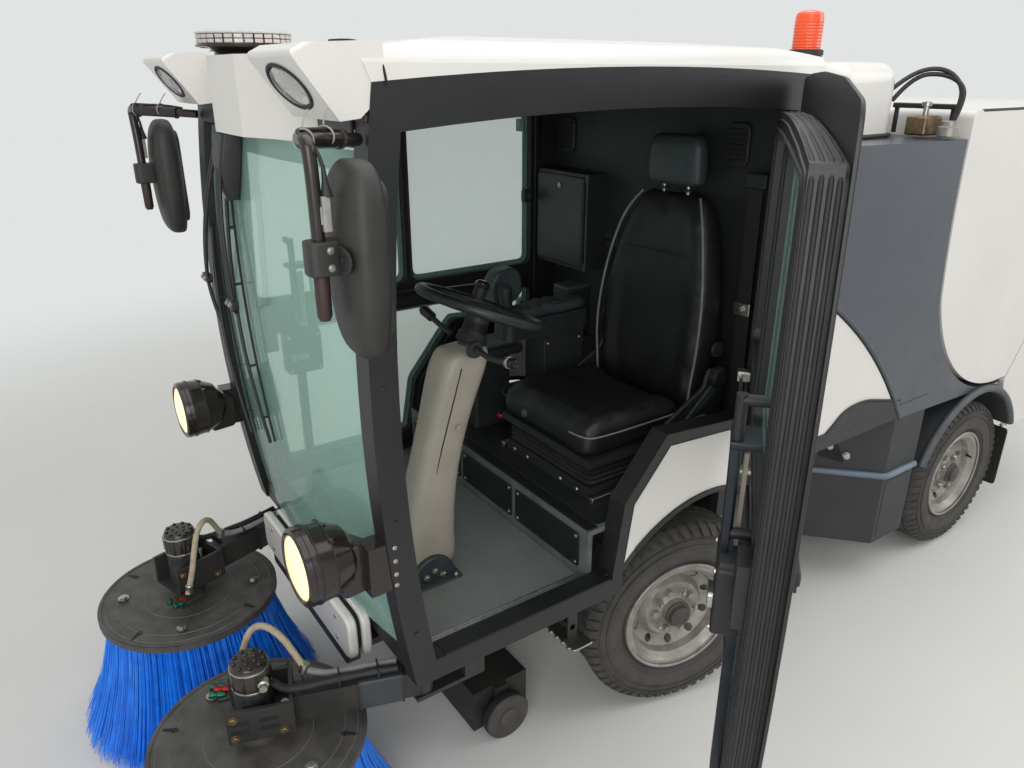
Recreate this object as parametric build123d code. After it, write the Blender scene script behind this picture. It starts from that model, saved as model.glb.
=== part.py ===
from build123d import *
import math
import os

# Compact road sweeper, in millimetres. While it is modelled, the ground is z = 0, the front
# axle is y = 0, the nose points to -Y and the machine's left side is +X.

# Main sizes.
BODY_HALF = 575
WHEELBASE = 1600
AXLE_Z = 318
WORK_GAP = 8
FIT_GAP = 0.05
SEAT_GAP = 0.3

# Wheels.
TYRE_R = AXLE_Z
TYRE_W = 185
RIM_R = 188
RIM_WALL = 9
HUB_R = 48
SPINDLE_R = 20
STUD_COUNT = 5
STUD_CIRCLE_R = 70
WHEEL_X = BODY_HALF - TYRE_W / 2 - 2
KINGPIN_X = 400
KINGPIN_R = 14
STEER_REST = -14

# Chassis.
RAIL_X = 190
RAIL_W = 60
RAIL_LOW = 380
RAIL_TOP = 500
RAIL_FRONT = -760
RAIL_REAR = 2360

# Cab shell. Side outlines are (y, z) points.
FRAME_T = 60
PILLAR_LOW = (-965, 543)
PILLAR_MID = (-1030, 1210)
PILLAR_TOP = (-986, 1885)
PILLAR_W = 62
ROOF_EDGE_MID = (-350, 1912)
CAB_REAR = 270
ROOF_EDGE_REAR = 1894
HEADER_H = 84
SILL_TOP = 600
POST_FRONT = 200
SADDLE_LINE = ((-354, 614), (-325, 826), (-182, 995))
SADDLE_REAR_Z = 962
STRIP_W = 35
ARCH_R = 430
ARCH_LIP = 16
FLOOR_Z = 575
FLOOR_T = 15
RISER_Y = -385
PLATFORM_Z = 735
WALL_T = 24
PANEL_T = 27
GLASS_T = 6
ROOF_Z = 1982
ROOF_SIDE_Z = 1950
ROOF_REAR = 300
ROOF_WALL = 25

# Doors.
DOOR_T = 45
DOOR_FRAME = 42
DOOR_OPEN = 39.5
DOOR_MAX = 85
HINGE_X = BODY_HALF + 16
HINGE_Y = POST_FRONT + 6
HINGE_R = 7
WAIST_LOW = 1120
WAIST_TOP = 1212
BAR_Y = -372
BAR_W = 24

# Rear of the machine. Side outlines are (y, z) points.
HOUSING_FRONT = 330
HOUSING_TOP = 1710
NECK_TOP = (1095, 1700)
NECK = (1134, 1159)
HIP = (1290, 890)
TAIL = (1781, 712)
TAIL_EDGE = 9
HOUSING_LOW = (1027, 733)
SWEEP_MID = (677, 1116)
SWEEP_TOP = (330, 1335)
HOUSING_WALL = 15
BOX_LOW = 205
BOX_TOP = 735
TRAY_TOP = 790
BOX_FRONT = 1000
BOX_INNER = 250
BOX_REAR = 1200
REAR_ARCH_R = 390
HOPPER_GAP = 12
HOPPER_TOP = 1788
HOPPER_LOW = 872
HOPPER_REAR = 2470
HOPPER_WALL = 14
LIP = ((1815, 722), (1915, 872))
TAIL_LOW = 450
FLAP_T = 46
HOPPER_HINGE = (HOPPER_REAR + 30, HOPPER_LOW - 22)
TOW_EYE = (2528, 410)
TOW_R = 15

# Brushes.
BRUSH_X = 340
BRUSH_Y = -1285
DISC_R = 260
DISC_Z = 375
DISC_T = 20
BRISTLE_R = 326
BRISTLE_TOP_R = 240
BRISTLE_W = 60
BRISTLE_LOW = 12
MOTOR_R = 45
MOTOR_LOW = 440
MOTOR_TOP = 618
ARM_PIVOT = (470, -900)
ARM_LOW = 432
ARM_TOP = 506
ARM_W = 56
PIVOT_R = 12
LEVER_PIN = (380, -860)
CYL_BASE = (400, -500)
CYL_Z = 408
CYL_R = 21
ROD_R = 9
CYL_LENGTH = 235

# Suction mouth.
MOUTH_HALF = 330
MOUTH_FRONT = -665
MOUTH_REAR = -470
MOUTH_LOW = 22
MOUTH_TOP = 165
CASTOR_X = 372
CASTOR_Y = -575
CASTOR_R = 75
CASTOR_W = 34
DUCT_R = 85
DUCT_WALL = 5
DUCT_Z = 466

# Driver's place.
SEAT_X = 180
SEAT_W = 480
CUSHION_LOW = 872
CUSHION_TOP = 985
CUSHION_FRONT = -330
CUSHION_REAR = 110
BACK_TOP = 1540
HEADREST_TOP = 1735
WHEEL_C = (180, -520, 1312)
STEERING_R = 172
STEERING_GRIP = 14
STEERING_TILT = 22
SHAFT_R = 12


def block(x0, x1, y0, y1, z0, z1):
    centre = Pos((x0 + x1) / 2, (y0 + y1) / 2, (z0 + z1) / 2)
    return centre * Box(x1 - x0, y1 - y0, z1 - z0)


def side_plane(x):
    """Plane whose local x is +Y and local y is +Z, at a given x."""
    return Plane(origin=(x, 0, 0), x_dir=(0, 1, 0), z_dir=(1, 0, 0))


def side_prism(face, x0, x1):
    return extrude(side_plane(x0) * face, amount=x1 - x0)


def flat_face(points):
    return make_face(Polyline(*points, close=True))


def plan_prism(points, z0, z1):
    return extrude(Plane.XY.offset(z0) * flat_face(points), amount=z1 - z0)


def rod(start, end, radius):
    a = Vector(*start)
    b = Vector(*end)
    direction = b - a
    return extrude(Plane(origin=a, z_dir=direction) * Circle(radius), amount=direction.length)


def tube(start, end, outer, inner):
    return rod(start, end, outer) - rod(start, end, inner)


def mirrored(shape):
    return mirror(shape, about=Plane.YZ)


def arc_circle(a, b, c):
    """Centre and radius of the circle through three (y, z) points."""
    (ax, ay), (bx, by), (cx, cy) = a, b, c
    d = 2 * (ax * (by - cy) + bx * (cy - ay) + cx * (ay - by))
    a2 = ax * ax + ay * ay
    b2 = bx * bx + by * by
    c2 = cx * cx + cy * cy
    ux = (a2 * (by - cy) + b2 * (cy - ay) + c2 * (ay - by)) / d
    uy = (a2 * (cx - bx) + b2 * (ax - cx) + c2 * (bx - ax)) / d
    return ux, uy, math.hypot(ax - ux, ay - uy)


PILLAR_ARC = arc_circle(PILLAR_LOW, PILLAR_MID, PILLAR_TOP)


def pillar_front(z, inset=0):
    """Y of the windscreen pillar's front edge at a height, moved back by an inset."""
    cy, cz, radius = PILLAR_ARC
    return cy - math.sqrt((radius - inset) ** 2 - (z - cz) ** 2)


def pillar_arc(z0, z1, inset=0):
    mid = (z0 + z1) / 2
    points = [(pillar_front(z, inset), z) for z in (z0, mid, z1)]
    return ThreePointArc(*points)


# Cab frame.
def saddle_points(drop):
    """Line where door and fender meet, moved down and back by a drop."""
    (y0, z0), (y1, z1), (y2, z2) = SADDLE_LINE
    return [(y0 + drop, z0), (y1 + drop * 0.94, z1 - drop * 0.3), (y2 + drop * 0.4, z2 - drop)]


def cab_side_outline():
    low = PILLAR_LOW[1]
    front = pillar_arc(low, PILLAR_TOP[1])
    top_front = front @ 1
    top = ThreePointArc(top_front, ROOF_EDGE_MID, (CAB_REAR, ROOF_EDGE_REAR))
    strip = saddle_points(STRIP_W)
    rest = Polyline(top @ 1, (CAB_REAR, SADDLE_REAR_Z - STRIP_W), strip[2], strip[1], strip[0],
                    (strip[0][0], low), front @ 0)
    return make_face([front, top, rest])


def door_opening(inset=0):
    """Door opening in the cab's side, made smaller all round by an inset."""
    low = SILL_TOP + inset
    high = PILLAR_TOP[1] - HEADER_H - inset
    rear = POST_FRONT - inset
    front = pillar_arc(low, high, PILLAR_W + inset)
    mid = (ROOF_EDGE_MID[0], ROOF_EDGE_MID[1] - HEADER_H - inset)
    top = ThreePointArc(front @ 1, mid, (rear, ROOF_EDGE_REAR - HEADER_H - inset))
    edge = saddle_points(-inset)
    rest = Polyline(top @ 1, (rear, SADDLE_REAR_Z + inset), edge[2], edge[1], edge[0],
                    (edge[0][0], low), front @ 0)
    return make_face([front, top, rest])


def arch_face(radius, centre_y, half_width=700, low=560):
    disc = Pos(centre_y, AXLE_Z) * Circle(radius)
    keep = Pos(centre_y, low + half_width) * Rectangle(2 * half_width, 2 * half_width)
    return disc & keep


def cab_side():
    inner = BODY_HALF - FRAME_T
    side = side_prism(cab_side_outline() - door_opening(), inner, BODY_HALF)
    lip = arch_face(ARCH_R + ARCH_LIP, 0) - arch_face(ARCH_R, 0)
    return side + side_prism(lip, inner, BODY_HALF)


def make_cab_frame():
    left = cab_side()
    inner = BODY_HALF - FRAME_T
    low = PILLAR_LOW[1]
    front_low = block(-inner, inner, PILLAR_LOW[0] + 6, PILLAR_LOW[0] + PILLAR_W, low, SILL_TOP)
    head = PILLAR_TOP[1]
    front_top = block(-inner, inner, -975, -975 + PILLAR_W, head - HEADER_H, head)
    rear_top = block(-inner, inner, CAB_REAR - FRAME_T, CAB_REAR, ROOF_EDGE_REAR - HEADER_H,
                     ROOF_EDGE_REAR)
    return left + mirrored(left) + front_low + front_top + rear_top


def make_cab_floor():
    inner = BODY_HALF - FRAME_T
    return block(-inner, inner, PILLAR_LOW[0] + PILLAR_W, RISER_Y - 12, FLOOR_Z - FLOOR_T, FLOOR_Z)


def make_seat_platform():
    inner = BODY_HALF - FRAME_T
    plate = FLOOR_T
    low = FLOOR_Z - FLOOR_T
    points = [(RISER_Y - 12, low), (RISER_Y - 12, PLATFORM_Z), (CAB_REAR, PLATFORM_Z),
              (CAB_REAR, PLATFORM_Z - plate), (RISER_Y - 12 + plate, PLATFORM_Z - plate),
              (RISER_Y - 12 + plate, low)]
    return side_prism(flat_face(points), -inner, inner)


def make_rear_wall():
    wall = block(-BODY_HALF, BODY_HALF, CAB_REAR, CAB_REAR + WALL_T, PLATFORM_Z - 40, ROOF_EDGE_REAR)
    inner = BODY_HALF - FRAME_T
    side_box = block(-inner + 6, -225, CAB_REAR - 96, CAB_REAR, 1232, 1572)
    side_box = fillet(side_box.edges().filter_by(Axis.Z).sort_by(Axis.Y)[:2], 14)
    lower = block(-inner, inner, CAB_REAR - 20, CAB_REAR, PLATFORM_Z, 960)
    return wall + side_box + lower


def make_front_fender():
    strip = saddle_points(STRIP_W)
    top = SADDLE_REAR_Z - STRIP_W
    outline = Polyline((strip[0][0], 580), strip[0], strip[1], strip[2], (CAB_REAR, top),
                       (CAB_REAR, 580), close=True)
    face = make_face(outline) - (Pos(0, AXLE_Z) * Circle(ARCH_R + ARCH_LIP))
    return side_prism(face, BODY_HALF - FRAME_T + 3, BODY_HALF - 2)


# Roof.
def roof_outline():
    low_front = PILLAR_TOP
    edge = ThreePointArc(low_front, ROOF_EDGE_MID, (CAB_REAR, ROOF_EDGE_REAR))
    rear = Polyline(edge @ 1, (ROOF_REAR, ROOF_EDGE_REAR), (ROOF_REAR - 20, ROOF_SIDE_Z - 14))
    crown = ThreePointArc(rear @ 1, (-350, ROOF_Z), (-1010, ROOF_Z - 44))
    nose = Line(crown @ 1, low_front)
    return make_face([edge, rear, crown, nose])


def roof_section():
    """Cross-section of the roof: a crowned top with rounded shoulders."""
    w = BODY_HALF
    s = ROOF_SIDE_Z
    right = ThreePointArc((w, s - 34), (w - 14, s - 8), (w - 60, s + 6))
    top = ThreePointArc(right @ 1, (0, ROOF_Z), (-w + 60, s + 6))
    left = ThreePointArc(top @ 1, (-w + 14, s - 8), (-w, s - 34))
    low = Polyline(left @ 1, (-w, 1800), (w, 1800), right @ 0)
    return make_face([right, top, left, low])


POD = ((-960, 1868), (-1010, 1826), (-1048, 1822), (-1128, 1932), (-1100, 1946), (-960, 1952))


def roof_pod():
    """Horn-shaped lamp pod on the roof's front corner, with a slanted face."""
    pod = side_prism(flat_face(POD), 345, BODY_HALF - 2)
    long_edges = pod.edges().filter_by(lambda e: e.center().Y < -1090)
    pod = fillet(long_edges, 9)
    face_centre = (455, -1088, 1877)
    slant = Vector(0, 1932 - 1822, 1128 - 1048).normalized()
    outward = Vector(0, -slant.Y, slant.Z * -1)
    recess = extrude(Plane(origin=face_centre, x_dir=(1, 0, 0), z_dir=outward) * Ellipse(74, 44),
                     amount=10, both=True)
    return pod - recess


def make_roof():
    side = side_prism(roof_outline(), -BODY_HALF, BODY_HALF)
    section = extrude(Plane.XZ.offset(-400) * roof_section(), amount=1500)
    shell = side & section
    inner = BODY_HALF - FRAME_T
    hollow = block(-inner + 20, inner - 20, -890, CAB_REAR - FRAME_T - 10, 1860, 1936)
    shell = shell - hollow
    pod = roof_pod()
    brow_points = [(-345, -960), (-345, -985), (-105, -1078), (105, -1078), (345, -985), (345, -960)]
    brow = plan_prism(brow_points, 1770, 1936)
    brow = fillet(brow.edges().filter_by(Axis.Z).filter_by(lambda e: e.center().Y < -1070), 10)
    front_bar = block(-345, 345, -1000, -920, 1890, 1936)
    whole = shell + pod + mirrored(pod) + brow + front_bar
    return whole - make_cab_frame()


def make_headliner():
    inner = BODY_HALF - FRAME_T
    return block(-inner, inner, -975 + PILLAR_W, CAB_REAR - FRAME_T, 1846, 1854)


# Windscreen: a glass bent both ways, as part of a ring turned about an upright axis.
SCREEN_AXIS_Y = 2000
SCREEN_LOW = 606
SCREEN_TOP = 1764


def make_windscreen():
    inset = 18
    outer = pillar_arc(SCREEN_LOW, SCREEN_TOP, inset - 40)
    back = pillar_arc(SCREEN_LOW, SCREEN_TOP, inset - 40 + GLASS_T)
    profile = make_face([outer, Line(outer @ 1, back @ 1), back, Line(back @ 0, outer @ 0)])
    placed = side_plane(0) * profile
    ring = revolve(placed, Axis((0, SCREEN_AXIS_Y, 0), (0, 0, 1)), 14)
    ring = ring + mirrored(ring)
    inner = BODY_HALF - FRAME_T - SEAT_GAP
    return ring & block(-inner, inner, -1400, 0, 0, 2000)


# Doors.
def window(face_points, radius=32):
    face = flat_face(face_points)
    return fillet(face.vertices(), radius)


def door_windows(inset=0):
    """Faces of the door's two upper panes and its lower pane."""
    d = DOOR_FRAME + WORK_GAP + inset
    z_top = 1775 - inset
    z_waist = WAIST_TOP + inset
    front_top = pillar_front(z_top, PILLAR_W) + d
    front_waist = pillar_front(z_waist, PILLAR_W) + d
    bar_front = BAR_Y - BAR_W / 2 - inset
    bar_rear = BAR_Y + BAR_W / 2 + inset
    rear = POST_FRONT - d
    front_pane = [(front_top, z_top - 8), (bar_front, z_top), (bar_front, z_waist), (front_waist, z_waist)]
    rear_pane = [(bar_rear, z_top), (rear, z_top - 6), (rear, z_waist), (bar_rear, z_waist)]
    low = SILL_TOP + d
    high = WAIST_LOW - inset
    edge = saddle_points(-d)
    slope = (edge[2][1] - edge[1][1]) / (edge[2][0] - edge[1][0])
    low_pane = [(pillar_front(low, PILLAR_W) + d, low), (edge[0][0], low), (edge[1][0], edge[1][1]),
                (edge[2][0], edge[1][1] + slope * (edge[2][0] - edge[1][0])), (rear, SADDLE_REAR_Z + d + 10),
                (rear, high), (pillar_front(high, PILLAR_W) + d, high)]
    return [window(front_pane), window(rear_pane), window(low_pane, 18)]


def make_door(opening_angle):
    x1 = BODY_HALF - 3
    x0 = x1 - DOOR_T
    face = door_opening(WORK_GAP)
    for pane in door_windows():
        face = face - pane
    door = side_prism(face, x0, x1)
    for z in (1040, 1720):
        strap = block(BODY_HALF + 2, HINGE_X, POST_FRONT - WORK_GAP - 60, HINGE_Y, z - 22, z + 22)
        strap = strap + block(x1 - 2, HINGE_X, POST_FRONT - WORK_GAP - 60, POST_FRONT - WORK_GAP, z - 22, z + 22)
        knuckle = rod((HINGE_X, HINGE_Y, z - 22), (HINGE_X, HINGE_Y, z + 22), HINGE_R * 2)
        bore = rod((HINGE_X, HINGE_Y, z - 30), (HINGE_X, HINGE_Y, z + 30), HINGE_R + FIT_GAP)
        door = door + strap + knuckle - bore
    latch = block(x0 - 24, x0, -930, -868, 1060, 1180)
    grab = rod((x0 - 42, -800, 1150), (x0 - 42, -800, 1420), 10)
    ends = [rod((x0 - 42, -800, z), (x0 + 4, -800, z), 10) for z in (1160, 1410)]
    outside = block(x1, x1 + 26, -905, -790, 1130, 1166)
    glass = None
    for pane in door_windows(FIT_GAP * 4):
        sheet = side_prism(pane, x0 + 18, x0 + 18 + GLASS_T)
        glass = sheet if glass is None else glass + sheet
    whole = door + latch + grab + ends[0] + ends[1] + outside
    turn = Pos(HINGE_X, HINGE_Y, 0) * Rot(0, 0, opening_angle) * Pos(-HINGE_X, -HINGE_Y, 0)
    return turn * whole, turn * glass


def door_hinge_posts():
    """Hinge pins and their lugs on the door post, left side."""
    lugs = None
    for z in (1040, 1720):
        pin = rod((HINGE_X, HINGE_Y, z - 40), (HINGE_X, HINGE_Y, z + 40), HINGE_R)
        for end in (z - 40, z + 24):
            ear = block(BODY_HALF, HINGE_X + 12, HINGE_Y - 10, HINGE_Y + 40, end, end + 16)
            pin = pin + ear
        lugs = pin if lugs is None else lugs + pin
    return lugs


# Wheels, drawn about the X axis through the origin, outer side towards +X.
def make_tyre():
    w = TYRE_W / 2
    r = TYRE_R
    bead = RIM_R - 6
    outline = Polyline((-w + 24, bead + 11), (-w + 4, bead + 32), (-w, bead + 64), (-w + 12, r - 18),
                       (-w + 34, r), (w - 34, r), (w - 12, r - 18), (w, bead + 64),
                       (w - 4, bead + 32), (w - 24, bead + 11), (w - 24, bead - 2), (-w + 24, bead - 2),
                       close=True)
    face = Plane.XY * make_face(outline)
    tyre = revolve(face, Axis.X)
    for x in (-44, -15, 15, 44):
        groove = Pos(x, 0, 0) * Rot(0, 90, 0) * (Cylinder(r + 5, 7) - Cylinder(r - 8, 7))
        tyre = tyre - groove
    return tyre


def make_rim():
    w = TYRE_W / 2
    bead = RIM_R - 6 - 2 - SEAT_GAP
    lip = RIM_R + 2
    outline = Polyline((w - 23.5, bead), (w - 23.5, lip), (w - 15, lip), (w - 15, bead - 12),
                       (w - 36, bead - 30), (w - 60, bead - 36), (14, 112), (34, 96), (34, HUB_R + 12),
                       (44, HUB_R - 4), (66, HUB_R - 6), (66, 0), (-10, 0), (-10, HUB_R + 6),
                       (22, HUB_R + 18), (22, 92), (4, 106), (w - 68, bead - 46), (-w + 36, bead - 34),
                       (-w + 15, bead - 12), (-w + 15, lip), (-w + 23.5, lip), (-w + 23.5, bead),
                       close=True)
    rim = revolve(Plane.XY * make_face(outline), Axis.X)
    rim = rim - rod((-60, 0, 0), (54, 0, 0), SPINDLE_R + FIT_GAP)
    for k in range(STUD_COUNT):
        angle = 360 / STUD_COUNT * k + 18
        nut = Rot(angle, 0, 0) * Pos(34 + 8, 0, STUD_CIRCLE_R) * Rot(0, 90, 0) * Cylinder(11, 18)
        rim = rim + nut
    for k in range(10):
        slot = Rot(36 * k, 0, 0) * Pos(0, 0, 128) * Rot(0, 90, 0) * Cylinder(13, 160)
        rim = rim - slot
    return rim


def place_wheel(shape, side, y, steer):
    turned = Pos(WHEEL_X - KINGPIN_X, 0, 0) * shape
    if y > 0:
        turned = Pos(WHEEL_X, y, AXLE_Z) * shape
        return turned if side > 0 else Rot(0, 0, 180) * Pos(0, -2 * y, 0) * turned
    if side < 0:
        turned = Rot(0, 0, 180) * turned
    return Pos(side * KINGPIN_X, 0, AXLE_Z) * Rot(0, 0, steer) * turned


def make_knuckle():
    """Stub axle about its kingpin, drawn at the origin with the wheel towards +X."""
    barrel = rod((0, 0, -42), (0, 0, 42), 30)
    flange = rod((26, 0, 0), (36, 0, 0), 36)
    spindle = rod((24, 0, 0), (WHEEL_X - KINGPIN_X + 50, 0, 0), SPINDLE_R)
    arm = block(-16, 16, 20, 130, -14, 14)
    bore = rod((0, 0, -60), (0, 0, 60), KINGPIN_R + FIT_GAP)
    return barrel + flange + spindle + arm - bore


def make_front_axle():
    beam = block(-KINGPIN_X + 60, KINGPIN_X - 60, -45, 45, AXLE_Z - 30, AXLE_Z + 30)
    axle = beam
    for side in (-1, 1):
        x = side * KINGPIN_X
        pin = rod((x, 0, AXLE_Z - 62), (x, 0, AXLE_Z + 62), KINGPIN_R)
        yoke_in = side * (KINGPIN_X - 62)
        yoke_out = side * (KINGPIN_X + 24)
        x0, x1 = sorted((yoke_in, yoke_out))
        for z in (AXLE_Z - 62, AXLE_Z + 44):
            axle = axle + block(x0, x1, -26, 26, z, z + 18)
        web0, web1 = sorted((side * (KINGPIN_X - 62), side * (KINGPIN_X - 44)))
        axle = axle + block(web0, web1, -26, 26, AXLE_Z - 62, AXLE_Z + 62) + pin
    for side in (-1, 1):
        x = side * RAIL_X
        axle = axle + block(x - 26, x + 26, -40, 40, AXLE_Z + 30, RAIL_LOW)
    return axle


def make_rear_axle():
    y = WHEELBASE
    axle = rod((-WHEEL_X + 60, y, AXLE_Z), (WHEEL_X - 60, y, AXLE_Z), 42)
    axle = axle + rod((-110, y, AXLE_Z), (110, y, AXLE_Z), 92)
    for side in (-1, 1):
        axle = axle + rod((side * (WHEEL_X - 62), y, AXLE_Z), (side * (WHEEL_X + 50), y, AXLE_Z), SPINDLE_R)
        axle = axle + rod((side * (WHEEL_X - 62), y, AXLE_Z), (side * (WHEEL_X - 46), y, AXLE_Z), 60)
        x = side * RAIL_X
        axle = axle + block(x - 26, x + 26, y - 45, y + 45, AXLE_Z, RAIL_LOW)
    return axle


# Chassis.
def make_chassis():
    frame = None
    for side in (-1, 1):
        x = side * RAIL_X
        rail = block(x - RAIL_W / 2, x + RAIL_W / 2, RAIL_FRONT, RAIL_REAR, RAIL_LOW, RAIL_TOP)
        frame = rail if frame is None else frame + rail
    half = RAIL_X + RAIL_W / 2
    for y0, y1 in ((420, 480), (1010, 1070), (1800, 1860), (2290, 2350)):
        frame = frame + block(-half, half, y0, y1, RAIL_LOW, RAIL_TOP)
    frame = frame + block(-500, 500, RAIL_FRONT - 30, RAIL_FRONT + 30, 444, RAIL_TOP)
    for side in (-1, 1):
        px, py = ARM_PIVOT
        x0, x1 = sorted((side * (px - 34), side * (px + 30)))
        for z in (ARM_LOW - 14, ARM_TOP + 2):
            frame = frame + block(x0, x1, py - 30, RAIL_FRONT - 20, z, z + 12)
        frame = frame + block(x0, x1, RAIL_FRONT - 30, RAIL_FRONT + 30, ARM_LOW - 14, ARM_TOP + 14)
        frame = frame + rod((side * px, py, ARM_LOW - 14), (side * px, py, ARM_TOP + 14), PIVOT_R)
        bx, by = CYL_BASE
        b0, b1 = sorted((side * RAIL_X, side * (bx + 16)))
        frame = frame + block(b0, b1, by - 18, by + 18, CYL_Z + 24, CYL_Z + 36)
        frame = frame + rod((side * bx, by, CYL_Z - 14), (side * bx, by, CYL_Z + 30), 8)
        cab_foot0, cab_foot1 = sorted((side * 150, side * 230))
        for y in (-760, -420):
            frame = frame + block(cab_foot0, cab_foot1, y - 30, y + 30, RAIL_TOP, FLOOR_Z - FLOOR_T)
        for y in (360, 1120):
            o0, o1 = sorted((side * half, side * (320 if y < 1000 else BOX_INNER)))
            frame = frame + block(o0, o1, y - 24, y + 24, RAIL_LOW + 60, RAIL_TOP)
        post0, post1 = sorted((side * 150, side * 210))
        frame = frame + block(post0, post1, CAB_REAR - 40, CAB_REAR - 2, RAIL_TOP, PLATFORM_Z - FLOOR_T)
    nose = block(-300, 300, PILLAR_LOW[0] - 3, RAIL_FRONT - 30, 474, 494)
    frame = frame + nose
    ty, tz = TOW_EYE
    tow = block(-14, 14, RAIL_REAR - 15, ty, tz - 25, tz + 25) + rod((-14, ty, tz), (14, ty, tz), 25)
    frame = frame + tow - rod((-20, ty, tz), (20, ty, tz), TOW_R)
    hy, hz = HOPPER_HINGE
    for side in (-1, 1):
        x = side * RAIL_X
        arm = block(x - 14, x + 14, RAIL_REAR - 60, RAIL_REAR, RAIL_TOP, hz + 14)
        arm = arm + block(x - 14, x + 14, RAIL_REAR - 60, hy, hz - 16, hz + 14) + rod((x - 14, hy, hz), (x + 14, hy, hz), 16)
        frame = frame + arm + rod((x - 40, hy, hz), (x + 40, hy, hz), 10)
    return frame


def make_engine():
    return block(-250, 250, 500, 1000, RAIL_TOP, 960)


def make_front_panel():
    rear = PILLAR_LOW[0] - 3
    upper = block(-335, 335, rear - 66, rear, 470, 604)
    slot = block(-335, 335, rear - 38, rear - 28, 560, 604)
    lower = block(-335, 335, rear - 66, rear - 44, 430, 470)
    panel = upper - slot + lower
    return fillet(panel.edges().filter_by(Axis.Y).filter_by(lambda e: abs(e.center().X) > 330), 14)


# Rear housing, covers and boxes.
def housing_outline(inset=0):
    (nty, ntz), (ny, nz), (hy, hz), (ty, tz) = NECK_TOP, NECK, HIP, TAIL
    waist = ThreePointArc((nty - inset, ntz), (nty + 10 - inset, 1400), (ny - inset, nz))
    flare = ThreePointArc(waist @ 1, (hy - inset, hz - inset), (ty, tz - inset))
    low_y, low_z = HOUSING_LOW
    base = Polyline(flare @ 1, (ty, tz - TAIL_EDGE), (low_y, low_z))
    sweep = ThreePointArc(base @ 1, SWEEP_MID, SWEEP_TOP)
    back = Polyline(sweep @ 1, (HOUSING_FRONT + inset, HOUSING_TOP - inset), waist @ 0)
    return make_face([waist, flare, base, sweep, back])


FLARE_ARC = arc_circle(NECK, HIP, TAIL)
CAVITY_REAR = 1440


def flare_point(y, below):
    """Point under the housing's flared rear edge."""
    cy, cz, radius = FLARE_ARC
    return y, cz - math.sqrt((radius + below) ** 2 - (y - cy) ** 2)


def make_housing():
    outer = side_prism(housing_outline(), -BODY_HALF, BODY_HALF)
    inner_half = BODY_HALF - HOUSING_WALL
    w = HOUSING_WALL
    first = flare_point(NECK[0] - 8, w)
    flare = ThreePointArc(first, flare_point(HIP[0] - 40, w), flare_point(CAVITY_REAR, w))
    front = HOUSING_FRONT + w
    rear = NECK_TOP[0] - w
    rest = Polyline(flare @ 1, (CAVITY_REAR, 300), (front, 300), (front, HOUSING_TOP - w),
                    (rear, HOUSING_TOP - w), (rear, 1300), first)
    return outer - side_prism(make_face([flare, rest]), -inner_half, inner_half)


def make_side_cover():
    """White panel under the housing's curved lower edge."""
    panel = block(BODY_HALF - PANEL_T, BODY_HALF - 4, HOUSING_FRONT + 2, BOX_FRONT + 20, TRAY_TOP + SEAT_GAP, 1400)
    return panel - side_prism(housing_outline(), 0, BODY_HALF + 20)


def make_side_box():
    x1 = BODY_HALF - 2
    tray = block(320, x1, HOUSING_FRONT + 2, BOX_REAR, BOX_TOP, TRAY_TOP)
    plan = [(x1, BOX_FRONT), (x1, BOX_REAR), (BOX_INNER, BOX_REAR), (BOX_INNER, 1010), (260, 800), (350, 800)]
    box = plan_prism(plan, BOX_LOW, BOX_TOP)
    foot = block(320, 350, HOUSING_FRONT + 10, HOUSING_FRONT + 50, RAIL_TOP - 60, BOX_TOP)
    solid_housing = side_prism(housing_outline(), 0, BODY_HALF + 20)
    return tray + box + foot - solid_housing


def make_rear_fender():
    band = arch_face(REAR_ARCH_R, WHEELBASE, low=470) - arch_face(REAR_ARCH_R - 15, WHEELBASE, low=0)
    fender = side_prism(band, 385, BODY_HALF + 6)
    inner = side_prism(arch_face(REAR_ARCH_R, WHEELBASE, low=470) & (Pos(WHEELBASE, 600) * Rectangle(560, 400)),
                       372, 385)
    return fender + inner


# Hopper.
def hopper_outline(inset=0):
    g = HOPPER_GAP
    (nty, ntz), (ny, nz), (hy, hz), (ty, tz) = NECK_TOP, NECK, HIP, TAIL
    waist = ThreePointArc((nty + g + inset, ntz), (nty + 10 + g + inset, 1400), (ny + g + inset, nz + inset))
    flare = ThreePointArc(waist @ 1, (hy + g + inset, hz + g + inset), (ty + 4, tz + g + inset))
    rest = Polyline(flare @ 1, (LIP[0][0], LIP[0][1] + inset), (LIP[1][0], HOPPER_LOW + inset),
                    (HOPPER_REAR, HOPPER_LOW + inset), (HOPPER_REAR, HOPPER_TOP - 60), (HOPPER_REAR - 50, HOPPER_TOP - inset),
                    (nty + g + inset, HOPPER_TOP - inset), waist @ 0)
    return make_face([waist, flare, rest])


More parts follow.
